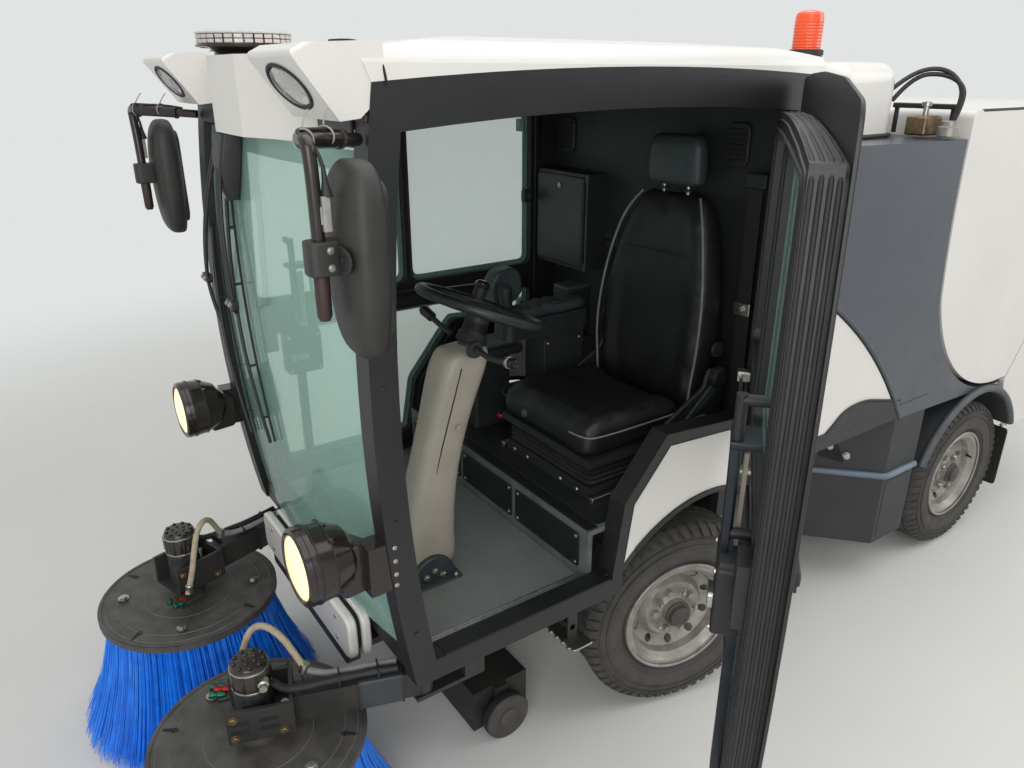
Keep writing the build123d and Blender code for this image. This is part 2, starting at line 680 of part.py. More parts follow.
def make_hopper():
    outer = side_prism(hopper_outline(), -BODY_HALF, BODY_HALF)
    outer = fillet(outer.edges().filter_by(Axis.X).filter_by(lambda e: e.center().Z > HOPPER_TOP - 70), 26)
    w = HOPPER_WALL
    cavity = [(1180, 1180), (1180, HOPPER_TOP - w), (HOPPER_REAR - 60, HOPPER_TOP - w), (HOPPER_REAR + 40, 1700),
              (HOPPER_REAR + 40, HOPPER_LOW + 60), (HOPPER_REAR - 40, HOPPER_LOW + w), (1940, HOPPER_LOW + w),
              (1830, 780), (1500, 860)]
    half = BODY_HALF - w
    hopper = outer - side_prism(flat_face(cavity), -half, half)
    hy, hz = HOPPER_HINGE
    for side in (-1, 1):
        x = side * (RAIL_X + 32)
        ear = block(x - 12, x + 12, hy - 110, hy, hz - 16, HOPPER_LOW - 4) + rod((x - 12, hy, hz), (x + 12, hy, hz), 18)
        ear = ear + block(x - 12, x + 12, hy - 110, HOPPER_REAR - 4, hz, HOPPER_LOW + 2)
        hopper = hopper + ear - rod((x - 20, hy, hz), (x + 20, hy, hz), 10 + FIT_GAP)
    for side in (-1, 1):
        x = side * 400
        fy, fz = FLAP_HINGE
        lug = block(x - 10, x + 10, HOPPER_REAR - 60, fy, fz - 14, fz + 14) + rod((x - 10, fy, fz), (x + 10, fy, fz), 16)
        hopper = hopper + lug + rod((x - 34, fy, fz), (x + 34, fy, fz), 8)
    return hopper


FLAP_HINGE = (HOPPER_REAR + 34, HOPPER_TOP - 24)


def make_flap():
    y0 = HOPPER_REAR + 6
    y1 = y0 + FLAP_T
    top = HOPPER_TOP - 72
    low = HOPPER_LOW + 10
    points = [(y0, low), (y1 - 16, low), (y1, low + 50), (y1, top - 60),
              (y1 - 14, top), (y0, top)]
    flap = side_prism(flat_face(points), -BODY_HALF + 6, BODY_HALF - 6)
    fy, fz = FLAP_HINGE
    for side in (-1, 1):
        for offset in (-24, 24):
            x = side * 400 + offset
            arm = block(x - 8, x + 8, fy - 12, fy + 12, top - 10, fz) + rod((x - 8, fy, fz), (x + 8, fy, fz), 15)
            flap = flap + arm - rod((x - 20, fy, fz), (x + 20, fy, fz), 8 + FIT_GAP)
    return flap


def make_tail_panel():
    """White lower rear bodywork behind the wheels, under the hopper."""
    g = 10
    arch = Pos(WHEELBASE, AXLE_Z) * Circle(REAR_ARCH_R + SEAT_GAP)
    outline = flat_face([(LIP[0][0] + 6, LIP[0][1] - g - 12), (LIP[1][0] + 6, LIP[1][1] - g - 6),
                         (HOPPER_REAR - 30, HOPPER_LOW - g - 6), (HOPPER_REAR + 5, 800), (HOPPER_REAR + 42, 800),
                         (HOPPER_REAR + 60, 560), (HOPPER_REAR, TAIL_LOW),
                         (1900, TAIL_LOW), (1860, 560)])
    face = outline - arch
    panel = side_prism(face, -BODY_HALF + 1, BODY_HALF - 1)
    inner = BODY_HALF - PANEL_T
    panel = panel - block(-inner, inner, 1700, HOPPER_REAR + 10, 300, 900)
    brackets = None
    for side in (-1, 1):
        x0, x1 = sorted((side * (RAIL_X + RAIL_W / 2), side * inner))
        b = block(x0, x1, 2290, 2340, 460, 490)
        brackets = b if brackets is None else brackets + b
    return panel + brackets


def make_intake():
    cover = block(-420, 420, 590, 930, HOUSING_TOP - 20, 1930)
    cover = fillet(cover.edges().filter_by(Axis.Z), 70)
    cover = fillet(cover.faces().sort_by(Axis.Z)[-1].edges(), 60)
    return cover - side_prism(housing_outline(), -BODY_HALF, BODY_HALF)


# Lights, mirrors.
def make_beacon():
    x, y = 430, 395
    base = Pos(x, y, HOUSING_TOP + 110) * Cylinder(17, 220)
    cup = Pos(x, y, HOUSING_TOP + 232) * Cylinder(44, 24)
    return base + cup


def make_beacon_lens():
    x, y = 430, 395
    z = HOUSING_TOP + 244
    lens = Pos(x, y, z + 50) * Cylinder(37, 100)
    return fillet(lens.edges().sort_by(Axis.Z)[-1], 14)


def make_warning_light():
    x, y = -95, -985
    z = 1937
    base = Pos(x, y, z + 2) * Cylinder(66, 46) - make_roof()
    disc = Pos(x, y, z + 25 + 20) * Cylinder(106, 40)
    return base + disc


def make_headlamp():
    x, y, z = 500, -1190, 930
    outline = Polyline((0, 0), (74, 0), (84, -4), (88, 20), (84, 60), (66, 100), (34, 122), (0, 126), close=True)
    half = make_face(outline)
    pod = revolve(Plane(origin=(x, y, z), x_dir=(1, 0, 0), z_dir=(0, 0, 1)) * half, Axis((x, y, z), (0, 1, 0)))
    recess = rod((x, y - 10, z), (x, y + 10, z), 74)
    neck = block(x - 14, x + 44, y + 80, -1035, z - 66, z - 10)
    plate = block(BODY_HALF - FRAME_T + 2, BODY_HALF - 4, -1060, -960, z - 90, z + 30)
    return pod - recess + neck + plate - make_cab_frame()


def make_mirror():
    x = 690
    y = -1085
    root = (548, pillar_front(1790) + 4, 1790)
    elbow = (640, -1140, 1800)
    corner = (690, -1150, 1780)
    foot = (690, -1150, 1640)
    arm = rod(root, elbow, 11) + Pos(*elbow) * Sphere(11) + rod(elbow, corner, 11) + Pos(*corner) * Sphere(11)
    arm = arm + rod(corner, foot, 11)
    clamp = block(x - 18, x + 18, -1168, y - 20, 1590, 1652)
    pod = block(x - 78, x + 78, y - 38, y + 38, 1440, 1775)
    pod = fillet(pod.edges().filter_by(Axis.Z), 30)
    pod = fillet(pod.faces().sort_by(Axis.Z)[-1].edges() + pod.faces().sort_by(Axis.Z)[0].edges(), 24)
    return arm + clamp + pod - make_cab_frame()


# Brushes.
def make_arm():
    px, py = ARM_PIVOT
    barrel = rod((px, py, ARM_LOW - 1.5), (px, py, ARM_TOP + 1.5), 27)
    dx = BRUSH_X - px
    dy = BRUSH_Y - py
    length = math.hypot(dx, dy)
    angle = math.degrees(math.atan2(dy, dx))
    reach = length - MOTOR_R - 40
    beam = Pos(px, py, 0) * Rot(0, 0, angle) * block(10, reach, -ARM_W / 2, ARM_W / 2, ARM_LOW, ARM_TOP)
    bracket = Pos(px, py, 0) * Rot(0, 0, angle) * block(reach - 6, length + 62, -66, 66, 436, 526)
    hollow = Pos(px, py, 0) * Rot(0, 0, angle) * block(reach + 4, length + 80, -56, 56, 446, 560)
    lx, ly = LEVER_PIN
    lever_angle = math.degrees(math.atan2(ly - py, lx - px))
    lever_length = math.hypot(lx - px, ly - py)
    lever = Pos(px, py, 0) * Rot(0, 0, lever_angle) * block(0, lever_length + 14, -16, 16, ARM_LOW, ARM_LOW + 12)
    bore = rod((px, py, ARM_LOW - 20), (px, py, ARM_TOP + 20), PIVOT_R + FIT_GAP)
    well = rod((BRUSH_X, BRUSH_Y, 430), (BRUSH_X, BRUSH_Y, 450), 20)
    return barrel + beam + (bracket - hollow) + lever - bore - well


def make_motor():
    body = rod((BRUSH_X, BRUSH_Y, MOTOR_LOW + 6), (BRUSH_X, BRUSH_Y, MOTOR_TOP), MOTOR_R)
    body = fillet(body.edges().sort_by(Axis.Z)[-1], 12)
    return body - rod((BRUSH_X, BRUSH_Y, 430), (BRUSH_X, BRUSH_Y, 500), 12 + FIT_GAP)


def make_disc():
    disc = rod((BRUSH_X, BRUSH_Y, DISC_Z), (BRUSH_X, BRUSH_Y, DISC_Z + DISC_T), DISC_R)
    hub = rod((BRUSH_X, BRUSH_Y, DISC_Z + DISC_T), (BRUSH_X, BRUSH_Y, DISC_Z + DISC_T + 22), 46)
    shaft = rod((BRUSH_X, BRUSH_Y, DISC_Z + DISC_T), (BRUSH_X, BRUSH_Y, 492), 12)
    whole = disc + hub + shaft
    for k in range(4):
        a = math.radians(90 * k + 20)
        cx = BRUSH_X + 190 * math.cos(a)
        cy = BRUSH_Y + 190 * math.sin(a)
        whole = whole + rod((cx, cy, DISC_Z + DISC_T), (cx, cy, DISC_Z + DISC_T + 8), 9)
    return whole


def make_bristles():
    low = BRISTLE_LOW
    top = DISC_Z
    points = [(BRISTLE_TOP_R - BRISTLE_W, top), (BRISTLE_TOP_R, top), (BRISTLE_R, low), (BRISTLE_R - BRISTLE_W, low)]
    face = Plane(origin=(BRUSH_X, BRUSH_Y, 0), x_dir=(1, 0, 0), z_dir=(0, -1, 0)) * flat_face(points)
    return revolve(face, Axis((BRUSH_X, BRUSH_Y, 0), (0, 0, 1)))


def cylinder_direction():
    bx, by = CYL_BASE
    lx, ly = LEVER_PIN
    return math.degrees(math.atan2(ly - by, lx - bx)), math.hypot(lx - bx, ly - by)


def make_barrel():
    angle, length = cylinder_direction()
    lug = rod((0, 0, -12), (0, 0, 12), 18)
    body = rod((14, 0, 0), (CYL_LENGTH, 0, 0), CYL_R)
    cavity = rod((CYL_LENGTH - 190, 0, 0), (CYL_LENGTH + 1, 0, 0), ROD_R + FIT_GAP)
    whole = lug + body - cavity - rod((0, 0, -20), (0, 0, 20), 8 + FIT_GAP)
    return Pos(CYL_BASE[0], CYL_BASE[1], CYL_Z) * Rot(0, 0, angle) * whole


def make_cylinder_rod():
    angle, length = cylinder_direction()
    shaft = rod((CYL_LENGTH - 90, 0, 0), (length - 10, 0, 0), ROD_R)
    eye = rod((length, 0, -12), (length, 0, 12), 18) - rod((length, 0, -20), (length, 0, 20), 8)
    return Pos(CYL_BASE[0], CYL_BASE[1], CYL_Z) * Rot(0, 0, angle) * (shaft + eye)


# Suction mouth under the cab.
def make_mouth():
    shell = block(-MOUTH_HALF, MOUTH_HALF, MOUTH_FRONT, MOUTH_REAR, MOUTH_LOW, MOUTH_TOP)
    hollow = block(-MOUTH_HALF + 8, MOUTH_HALF - 8, MOUTH_FRONT + 8, MOUTH_REAR - 8, MOUTH_LOW - 5, MOUTH_TOP - 8)
    mouth = shell - hollow
    centre_y = (MOUTH_FRONT + MOUTH_REAR) / 2
    neck = rod((0, centre_y, MOUTH_TOP - 8), (0, centre_y, RAIL_LOW - 40), DUCT_R + 8)
    neck = neck - rod((0, centre_y, MOUTH_TOP - 20), (0, centre_y, RAIL_LOW), DUCT_R)
    mouth = mouth - rod((0, centre_y, MOUTH_TOP - 20), (0, centre_y, RAIL_LOW), DUCT_R) + neck
    for side in (-1, 1):
        x = side * RAIL_X
        hanger = block(x - 20, x + 20, centre_y - 10, centre_y + 10, MOUTH_TOP, RAIL_LOW)
        mouth = mouth + hanger
        fork0, fork1 = sorted((side * (CASTOR_X - CASTOR_W / 2 - 6), side * (CASTOR_X - CASTOR_W / 2 - 16)))
        mouth = mouth + block(fork0, fork1, CASTOR_Y - 22, CASTOR_Y + 22, CASTOR_R - 20, MOUTH_TOP)
        arm0, arm1 = sorted((side * (MOUTH_HALF - 8), side * (CASTOR_X - CASTOR_W / 2 - 6)))
        mouth = mouth + block(arm0, arm1, CASTOR_Y - 22, CASTOR_Y + 22, MOUTH_TOP - 20, MOUTH_TOP)
        end = side * (CASTOR_X + CASTOR_W / 2 + 6)
        start = side * (CASTOR_X - CASTOR_W / 2 - 10)
        mouth = mouth + rod((start, CASTOR_Y, CASTOR_R), (end, CASTOR_Y, CASTOR_R), 10)
    return mouth


def make_castor():
    start = CASTOR_X - CASTOR_W / 2
    end = CASTOR_X + CASTOR_W / 2
    wheel = rod((start, CASTOR_Y, CASTOR_R), (end, CASTOR_Y, CASTOR_R), CASTOR_R)
    wheel = fillet(wheel.edges(), 7)
    return wheel - rod((start - 5, CASTOR_Y, CASTOR_R), (end + 5, CASTOR_Y, CASTOR_R), 10 + FIT_GAP)


# Driver's place.
def make_seat_base():
    half = SEAT_W / 2 - 30
    z0 = PLATFORM_Z
    base = block(SEAT_X - half, SEAT_X + half, -290, 90, z0, z0 + 40)
    bellows = block(SEAT_X - half + 20, SEAT_X + half - 20, -270, 70, z0 + 40, CUSHION_LOW - 24)
    pan = block(SEAT_X - half - 10, SEAT_X + half + 10, -305, 196, CUSHION_LOW - 24, CUSHION_LOW - SEAT_GAP)
    back_rest = block(SEAT_X - half, SEAT_X + half, 100, 190, CUSHION_LOW - 24, CUSHION_TOP - 100 - SEAT_GAP)
    return base + bellows + pan + back_rest


def make_cushion():
    half = SEAT_W / 2
    cushion = block(SEAT_X - half, SEAT_X + half, CUSHION_FRONT, CUSHION_REAR - 30, CUSHION_LOW, CUSHION_TOP)
    return fillet(cushion.edges(), 30)


def make_backrest():
    points = [(60, CUSHION_TOP + 2), (CUSHION_REAR + 90, CUSHION_TOP - 60), (CUSHION_REAR + 140, BACK_TOP),
              (CUSHION_REAR + 60, BACK_TOP)]
    half = SEAT_W / 2 - 6
    back = side_prism(flat_face([(88, CUSHION_TOP - 100), (196, CUSHION_TOP - 100), (236, BACK_TOP), (150, BACK_TOP)]),
                      SEAT_X - half, SEAT_X + half)
    return fillet(back.edges(), 24)


def make_headrest():
    rest = block(SEAT_X - 120, SEAT_X + 120, 145, 232, BACK_TOP + 40, HEADREST_TOP)
    rest = fillet(rest.edges(), 22)
    for side in (-1, 1):
        rest = rest + rod((SEAT_X + side * 50, 190, BACK_TOP + SEAT_GAP), (SEAT_X + side * 50, 190, BACK_TOP + 60), 6)
    return rest


def make_console():
    post = block(-170, -80, -120, 60, PLATFORM_Z, 1085)
    pad = block(-172, -78, -260, 90, 1085, 1150)
    pad = fillet(pad.edges().filter_by(Axis.Z), 30)
    stick = rod((-125, -225, 1145), (-125, -235, 1235), 16)
    return post + pad + stick


def make_column():
    sections = [(FLOOR_Z, -745, 130, 190), (900, -690, 92, 130), (1205, -600, 120, 150)]
    faces = [Plane(origin=(SEAT_X + 10, y, z)) * RectangleRounded(w, d, 38) for z, y, w, d in sections]
    column = loft(Sketch() + faces, ruled=False)
    foot = block(SEAT_X + 20, SEAT_X + 130, -800, -700, FLOOR_Z, FLOOR_Z + 60)
    stem = wheel_plane() * (Pos(0, 0, -67) * Cylinder(34, 88))
    bore = wheel_plane() * (Pos(0, 0, -60) * Cylinder(SHAFT_R + FIT_GAP, 100))
    return column + foot + stem - bore


def wheel_plane():
    tilt = math.radians(STEERING_TILT)
    return Plane(origin=WHEEL_C, x_dir=(1, 0, 0), z_dir=(0, math.sin(tilt), math.cos(tilt)))


def make_steering_wheel():
    plane = wheel_plane()
    ring = plane * Torus(STEERING_R, STEERING_GRIP)
    hub = plane * (Pos(0, 0, -8) * Cylinder(42, 28))
    shaft = plane * (Pos(0, 0, -60) * Cylinder(SHAFT_R, 80))
    wheel = ring + hub + shaft
    for angle in (90, 210, 330):
        spoke = plane * (Rot(0, 0, angle) * Pos(STEERING_R / 2, 0, -8) * Box(STEERING_R - 4, 34, 10))
        wheel = wheel + spoke
    knob = plane * (Rot(0, 0, 150) * Pos(STEERING_R, 0, 30) * Cylinder(20, 44))
    return wheel + fillet(knob.edges(), 8)


def build_parts():
    parts = {}
    parts["chassis_frame"] = make_chassis()
    parts["front_axle"] = make_front_axle()
    parts["rear_axle"] = make_rear_axle()
    parts["engine_block"] = make_engine()
    hinges = door_hinge_posts()
    parts["cab_frame"] = make_cab_frame() + make_headliner() + hinges + mirrored(hinges)
    parts["cab_floor"] = make_cab_floor() + make_seat_platform()
    parts["cab_rear_wall"] = make_rear_wall()
    parts["cab_roof"] = make_roof()
    parts["windscreen"] = make_windscreen()
    parts["front_panel"] = make_front_panel()
    parts["rear_housing"] = make_housing()
    parts["intake_cover"] = make_intake()
    parts["tail_panel"] = make_tail_panel()
    parts["hopper"] = make_hopper()
    parts["hopper_flap"] = make_flap()
    parts["beacon_post"] = make_beacon()
    parts["beacon_lens"] = make_beacon_lens()
    parts["warning_light"] = make_warning_light()
    parts["suction_mouth"] = make_mouth()
    parts["seat_base"] = make_seat_base()
    parts["seat_cushion"] = make_cushion()
    parts["seat_backrest"] = make_backrest() + make_headrest()
    parts["driver_console"] = make_console()
    parts["steering_column"] = make_column()
    parts["steering_wheel"] = make_steering_wheel()
    door, panes = make_door(0)
    opened, opened_panes = make_door(DOOR_OPEN)
    parts["door_left"] = opened
    parts["door_glass_left"] = opened_panes
    parts["door_right"] = mirrored(door)
    parts["door_glass_right"] = mirrored(panes)
    both_sides = {
        "front_fenders": make_front_fender(),
        "side_covers": make_side_cover(),
        "side_boxes": make_side_box(),
        "rear_fenders": make_rear_fender(),
        "headlamps": make_headlamp(),
        "mirrors": make_mirror(),
    }
    for name, shape in both_sides.items():
        parts[name] = shape + mirrored(shape)
    pairs = {
        "brush_arm": make_arm(),
        "brush_motor": make_motor(),
        "brush_disc": make_disc(),
        "brush_bristles": make_bristles(),
        "arm_cylinder": make_barrel(),
        "arm_cylinder_rod": make_cylinder_rod(),
        "castor_wheel": make_castor(),
    }
    for name, shape in pairs.items():
        parts[name + "_left"] = shape
        parts[name + "_right"] = mirrored(shape)
    tyre = make_tyre()
    rim = make_rim()
    knuckle = make_knuckle()
    for side, word in ((1, "left"), (-1, "right")):
        steered = Rot(0, 0, STEER_REST) * (knuckle if side > 0 else Rot(0, 0, 180) * knuckle)
        parts["knuckle_" + word] = Pos(side * KINGPIN_X, 0, AXLE_Z) * steered
        for end, y in (("front", 0), ("rear", WHEELBASE)):
            parts["tyre_" + end + "_" + word] = place_wheel(tyre, side, y, STEER_REST)
            parts["rim_" + end + "_" + word] = place_wheel(rim, side, y, STEER_REST)
    return parts


parts = build_parts()
boxes = [shape.bounding_box() for shape in parts.values()]
centre_x = (min(b.min.X for b in boxes) + max(b.max.X for b in boxes)) / 2
centre_y = (min(b.min.Y for b in boxes) + max(b.max.Y for b in boxes)) / 2
low_z = min(b.min.Z for b in boxes)
print("origin shift", round(-centre_x, 2), round(-centre_y, 2), round(-low_z, 3))
os.makedirs("parts", exist_ok=True)
for name, shape in parts.items():
    export_step(Pos(-centre_x, -centre_y, -low_z) * shape, "parts/" + name + ".step")
print(len(parts), "sub-parts")
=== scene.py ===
# %% [markdown]
# # Compact road sweeper
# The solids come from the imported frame. Each step below dresses one group of
# pieces: it says what the real piece is, and then makes it in mesh code.

# %% Load the frame
import math
import random
import bmesh
import bpy
from mathutils import Matrix, Vector


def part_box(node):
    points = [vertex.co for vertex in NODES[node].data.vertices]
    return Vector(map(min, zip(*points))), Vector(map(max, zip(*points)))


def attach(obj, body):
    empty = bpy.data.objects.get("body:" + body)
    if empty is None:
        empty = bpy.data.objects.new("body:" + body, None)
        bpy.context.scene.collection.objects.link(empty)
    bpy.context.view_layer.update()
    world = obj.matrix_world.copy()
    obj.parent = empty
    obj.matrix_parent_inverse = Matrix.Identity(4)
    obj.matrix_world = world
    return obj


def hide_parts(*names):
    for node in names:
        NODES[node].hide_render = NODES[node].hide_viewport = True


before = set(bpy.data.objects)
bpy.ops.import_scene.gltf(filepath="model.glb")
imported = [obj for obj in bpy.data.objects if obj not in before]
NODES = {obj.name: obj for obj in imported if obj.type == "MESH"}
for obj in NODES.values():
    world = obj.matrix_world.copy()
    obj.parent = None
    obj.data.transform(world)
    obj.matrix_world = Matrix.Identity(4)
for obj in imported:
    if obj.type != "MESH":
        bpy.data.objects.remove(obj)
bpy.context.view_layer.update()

# %% [markdown]
# Places are written in millimetres from the front axle's middle on the ground, with
# +Y to the tail. The engine block is a plain box whose corner is known there, so it
# gives the step from that drawing to the frame.

# %% Drawing to frame
ENGINE_CORNER = Vector((-0.25, 0.5, 0.5))
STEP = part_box("engine_block")[0] - ENGINE_CORNER
SCENE = bpy.context.scene
SIDES = (("left", 1), ("right", -1))
WHEEL_HEIGHT, REAR_AXLE = 318, 1600


def at(x, y, z):
    return Vector((x, y, z)) / 1000 + STEP


print("step", [round(v, 4) for v in STEP])

# %% [markdown]
# The camera stands at the left front corner at head height with a wide lens.

# %% Camera
PHOTO_WIDTH = 1024
FOCAL_PIXELS = 775
SENSOR = 36
CAMERA_AZIMUTH = 55.3
CAMERA_DOWN = 21.9

camera_data = bpy.data.cameras.new("camera")
camera_data.sensor_width = SENSOR
camera_data.lens = FOCAL_PIXELS / PHOTO_WIDTH * SENSOR
camera = bpy.data.objects.new("camera", camera_data)
camera.location = at(1885, -1600, 1900)
camera.rotation_euler = (math.radians(90 - CAMERA_DOWN), 0, math.radians(CAMERA_AZIMUTH))
SCENE.collection.objects.link(camera)
SCENE.camera = camera
SCENE.view_settings.view_transform = "Standard"

# %% [markdown]
# Node materials. One function turns sRGB hex to linear, and one adds a node with its
# links. Patterns use object coordinates in metres, so a grain of g millimetres has a
# noise scale of 1000 / g.

# %% Material helpers
GRAIN_DEPTH_MM = 0.4


def linear(code):
    parts = [int(code[i:i + 2], 16) / 255 for i in (1, 3, 5)]
    return [v / 12.92 if v <= 0.04045 else ((v + 0.055) / 1.055) ** 2.4 for v in parts] + [1.0]


def add(tree, kind, inputs=None, **settings):
    node = tree.nodes.new(kind)
    for key, value in settings.items():
        setattr(node, key, value)
    for key, value in (inputs or {}).items():
        if isinstance(value, bpy.types.NodeSocket):
            tree.links.new(value, node.inputs[key])
        else:
            node.inputs[key].default_value = value
    return node


def grain(tree, size_mm, detail=4.0, rough=0.55):
    place = add(tree, "ShaderNodeTexCoord").outputs["Object"]
    noise = add(tree, "ShaderNodeTexNoise", {"Vector": place, "Scale": 1000 / size_mm, "Detail": detail,
                                             "Roughness": rough})
    return noise.outputs["Fac"]


def spread(tree, value, low, high, start=0.3, end=0.7):
    return add(tree, "ShaderNodeMapRange", {"Value": value, "From Min": start, "From Max": end,
                                            "To Min": low, "To Max": high}).outputs["Result"]


def blend_colour(tree, share, first, second):
    node = add(tree, "ShaderNodeMix", {0: share, 6: first, 7: second}, data_type="RGBA")
    return node.outputs[2]


def bump_of(tree, height, strength):
    return add(tree, "ShaderNodeBump", {"Height": height, "Strength": strength,
                                        "Distance": GRAIN_DEPTH_MM / 1000}).outputs["Normal"]


def finish(name, colour, second, patch_mm, rough, grain_mm, bump, octaves=6.0, **sockets):
    """Material with soft colour patches, a roughness that varies, and a fine grain."""
    material = bpy.data.materials.new(name)
    material.use_nodes = True
    tree = material.node_tree
    shader = tree.nodes["Principled BSDF"]
    patches = grain(tree, patch_mm)
    fine = grain(tree, grain_mm, octaves, 0.6)
    low, high = rough
    values = {
        "Base Color": blend_colour(tree, spread(tree, patches, 0.0, 1.0), linear(colour), linear(second)),
        "Roughness": spread(tree, fine, low, high),
        "Normal": bump_of(tree, fine, bump),
    }
    for key, value in values.items():
        tree.links.new(value, shader.inputs[key])
    for key, value in sockets.items():
        shader.inputs[key.replace("_", " ")].default_value = value
    material["shader"] = shader.name
    return material

# %% [markdown]
# White bodywork is gel-coated glass fibre: smooth, pale, with a faint orange peel.
# The frame and doors are powder-coated steel, finely pebbled. The housing is satin
# two-pack paint. Boxes and wheel arches are rotation-moulded polyethylene, which is
# dull and grained.

# %% Body materials
gelcoat = finish("white_gelcoat", "#e0ddd8", "#dad6d1", 420, (0.2, 0.27), 45, 0.12, octaves=1.0)
slate = finish("slate_two_pack", "#474b54", "#40444c", 300, (0.28, 0.38), 40, 0.12, octaves=1.5)
powder = finish("black_powder_coat", "#1a1a1b", "#201f20", 120, (0.38, 0.55), 1.6, 0.25)
steel_black = finish("chassis_enamel", "#232322", "#33302d", 90, (0.4, 0.65), 4, 0.3)
moulded = finish("moulded_polyethylene", "#2a2b2d", "#323335", 140, (0.5, 0.68), 2.2, 0.35)
trim = finish("cab_trim_abs", "#1f2123", "#282a2c", 120, (0.45, 0.6), 1.8, 0.4)
column_paint = finish("column_enamel", "#aaa296", "#9c9488", 130, (0.35, 0.5), 5, 0.12)
deck = finish("floor_rubber_sheet", "#6d7170", "#55585a", 60, (0.45, 0.8), 3, 0.5)
engine_grey = finish("engine_enamel", "#3c3e3f", "#2e2f30", 90, (0.5, 0.7), 6, 0.3)

# %% [markdown]
# Small hardware: glossy lamp shells, grained mirror shells, zinc-plated bolts, cast
# aluminium motors and worn painted discs.

# %% Hardware materials
gloss_black = finish("gloss_lamp_shell", "#231c1a", "#2c2422", 90, (0.12, 0.24), 30, 0.05, octaves=1.5)
mirror_shell = finish("grained_mirror_shell", "#242322", "#2f2d2b", 70, (0.45, 0.62), 2.4, 0.9)
zinc = finish("zinc_plate", "#b9b7ae", "#9d9a90", 25, (0.25, 0.45), 2, 0.15, Metallic=1.0)
cast = finish("cast_aluminium", "#3a3a3c", "#57575a", 25, (0.35, 0.55), 2, 0.4, Metallic=0.8)
worn_disc = finish("worn_painted_disc", "#3a3837", "#565351", 55, (0.45, 0.7), 5, 0.35)
rim_paint = finish("silver_rim_paint", "#a39f9b", "#847c74", 45, (0.3, 0.5), 4, 0.15, Metallic=0.35)
tyre = finish("tyre_rubber", "#3b3937", "#4c4946", 60, (0.7, 0.9), 3, 0.5)
seal = finish("epdm_seal", "#141415", "#1c1c1d", 60, (0.55, 0.7), 2, 0.3)
vinyl = finish("seat_vinyl", "#121214", "#1b1b1d", 80, (0.38, 0.52), 1.6, 0.8)
piping_grey = finish("grey_piping", "#7b7c7e", "#6a6b6d", 40, (0.5, 0.65), 1.2, 0.4)
bristle = finish("polypropylene_bristle", "#2490ff", "#1272e6", 40, (0.32, 0.5), 2, 0.2)
hose_black = finish("rubber_hose", "#1a1a1b", "#252526", 40, (0.5, 0.65), 1.5, 0.4)
hose_beige = finish("braided_hose", "#b6a78e", "#9c8d76", 20, (0.6, 0.75), 1.2, 0.5)
hose_grey = finish("grey_pvc_hose", "#8c8d8c", "#747575", 30, (0.45, 0.6), 2, 0.2)
coupling_red = finish("red_anodised_coupling", "#a3191c", "#8a1417", 20, (0.25, 0.4), 2, 0.1, Metallic=0.6)
coupling_green = finish("green_anodised_coupling", "#17604a", "#104c3a", 20, (0.25, 0.4), 2, 0.1,
                        Metallic=0.6)
reflector = finish("chromed_reflector", "#e8e8e6", "#d8d8d6", 30, (0.06, 0.12), 6, 0.03, Metallic=1.0)

# %% [markdown]
# Tinted safety glass is thin. It passes about two thirds of the light and lays a pale
# mint haze over what is behind it. Lenses are clear polycarbonate, and the beacon is
# amber acrylic.

# %% Glass materials


def glass(name, colour, alpha):
    material = bpy.data.materials.new(name)
    material.use_nodes = True
    tree = material.node_tree
    shader = tree.nodes["Principled BSDF"]
    smear = spread(tree, grain(tree, 180), 0.02, 0.07)
    tree.links.new(smear, shader.inputs["Roughness"])
    shader.inputs["Base Color"].default_value = linear(colour)
    shader.inputs["Alpha"].default_value = alpha
    shader.inputs["IOR"].default_value = 1.5
    return material


tinted = glass("tinted_safety_glass", "#b2e2d3", 0.32)
clear = glass("polycarbonate_lens", "#d8dad8", 0.35)


def lamp_glow(name, colour, strength):
    material = finish(name, colour, colour, 40, (0.1, 0.2), 6, 0.05)
    shader = material.node_tree.nodes[material["shader"]]
    shader.inputs["Emission Color"].default_value = linear(colour)
    shader.inputs["Emission Strength"].default_value = strength
    return material


lamp_warm = lamp_glow("warm_lamp_lens", "#ffe3b0", 0.9)
amber = lamp_glow("amber_acrylic", "#e24a10", 0.15)
amber.node_tree.nodes[amber["shader"]].inputs["Coat Weight"].default_value = 0.6

# %% [markdown]
# Small finishes: rubbers, nylon, anodised and plated metal, vinyls and printed glass.
# Each starts from its common name. Grain sizes are in millimetres, drawn a little
# coarser than the real ones so that they still show at this distance.

# %% Small finishes
rubber_black = finish("moulded_rubber", "#1d1c1b", "#282725", 50, (0.5, 0.68), 2, 0.4)
brown_rubber = finish("brown_rubber_cap", "#3a2622", "#2c1e1b", 30, (0.45, 0.6), 2, 0.3)
frit = finish("fired_frit", "#0c0d0e", "#121314", 40, (0.35, 0.5), 3, 0.1)
# Near-black finish. Along seams it is the joints' own colour. Elsewhere it is painted shade: it fills holes,
# slots, a notch, the gap between the front bars and the shadow under the housing's lip.
joint_and_shade_black = finish("joint_gap", "#0f0f10", "#18181a", 40, (0.7, 0.85), 2, 0.1)
plug_grey = finish("nylon_plug", "#a3a19c", "#8d8b86", 20, (0.4, 0.55), 1.2, 0.2)
led_cell = finish("led_cell", "#d9cfc9", "#b3aaa6", 6, (0.12, 0.3), 2, 0.3)
pull_blue = finish("blued_steel", "#262a30", "#31363d", 40, (0.3, 0.45), 3, 0.15, Metallic=0.5)
pale_strap = finish("beige_plate", "#a3998b", "#8f8678", 40, (0.45, 0.6), 3, 0.2)
grey_vinyl = finish("grey_green_vinyl", "#3b4344", "#30383a", 70, (0.42, 0.56), 1.6, 0.7)
yellow_cap = finish("yellow_zinc_cap", "#a98417", "#8b6b12", 20, (0.35, 0.5), 2, 0.2, Metallic=0.5)
wheel_rubber = finish("steering_polyurethane", "#1a1b1d", "#232426", 60, (0.32, 0.48), 1.8, 0.35)
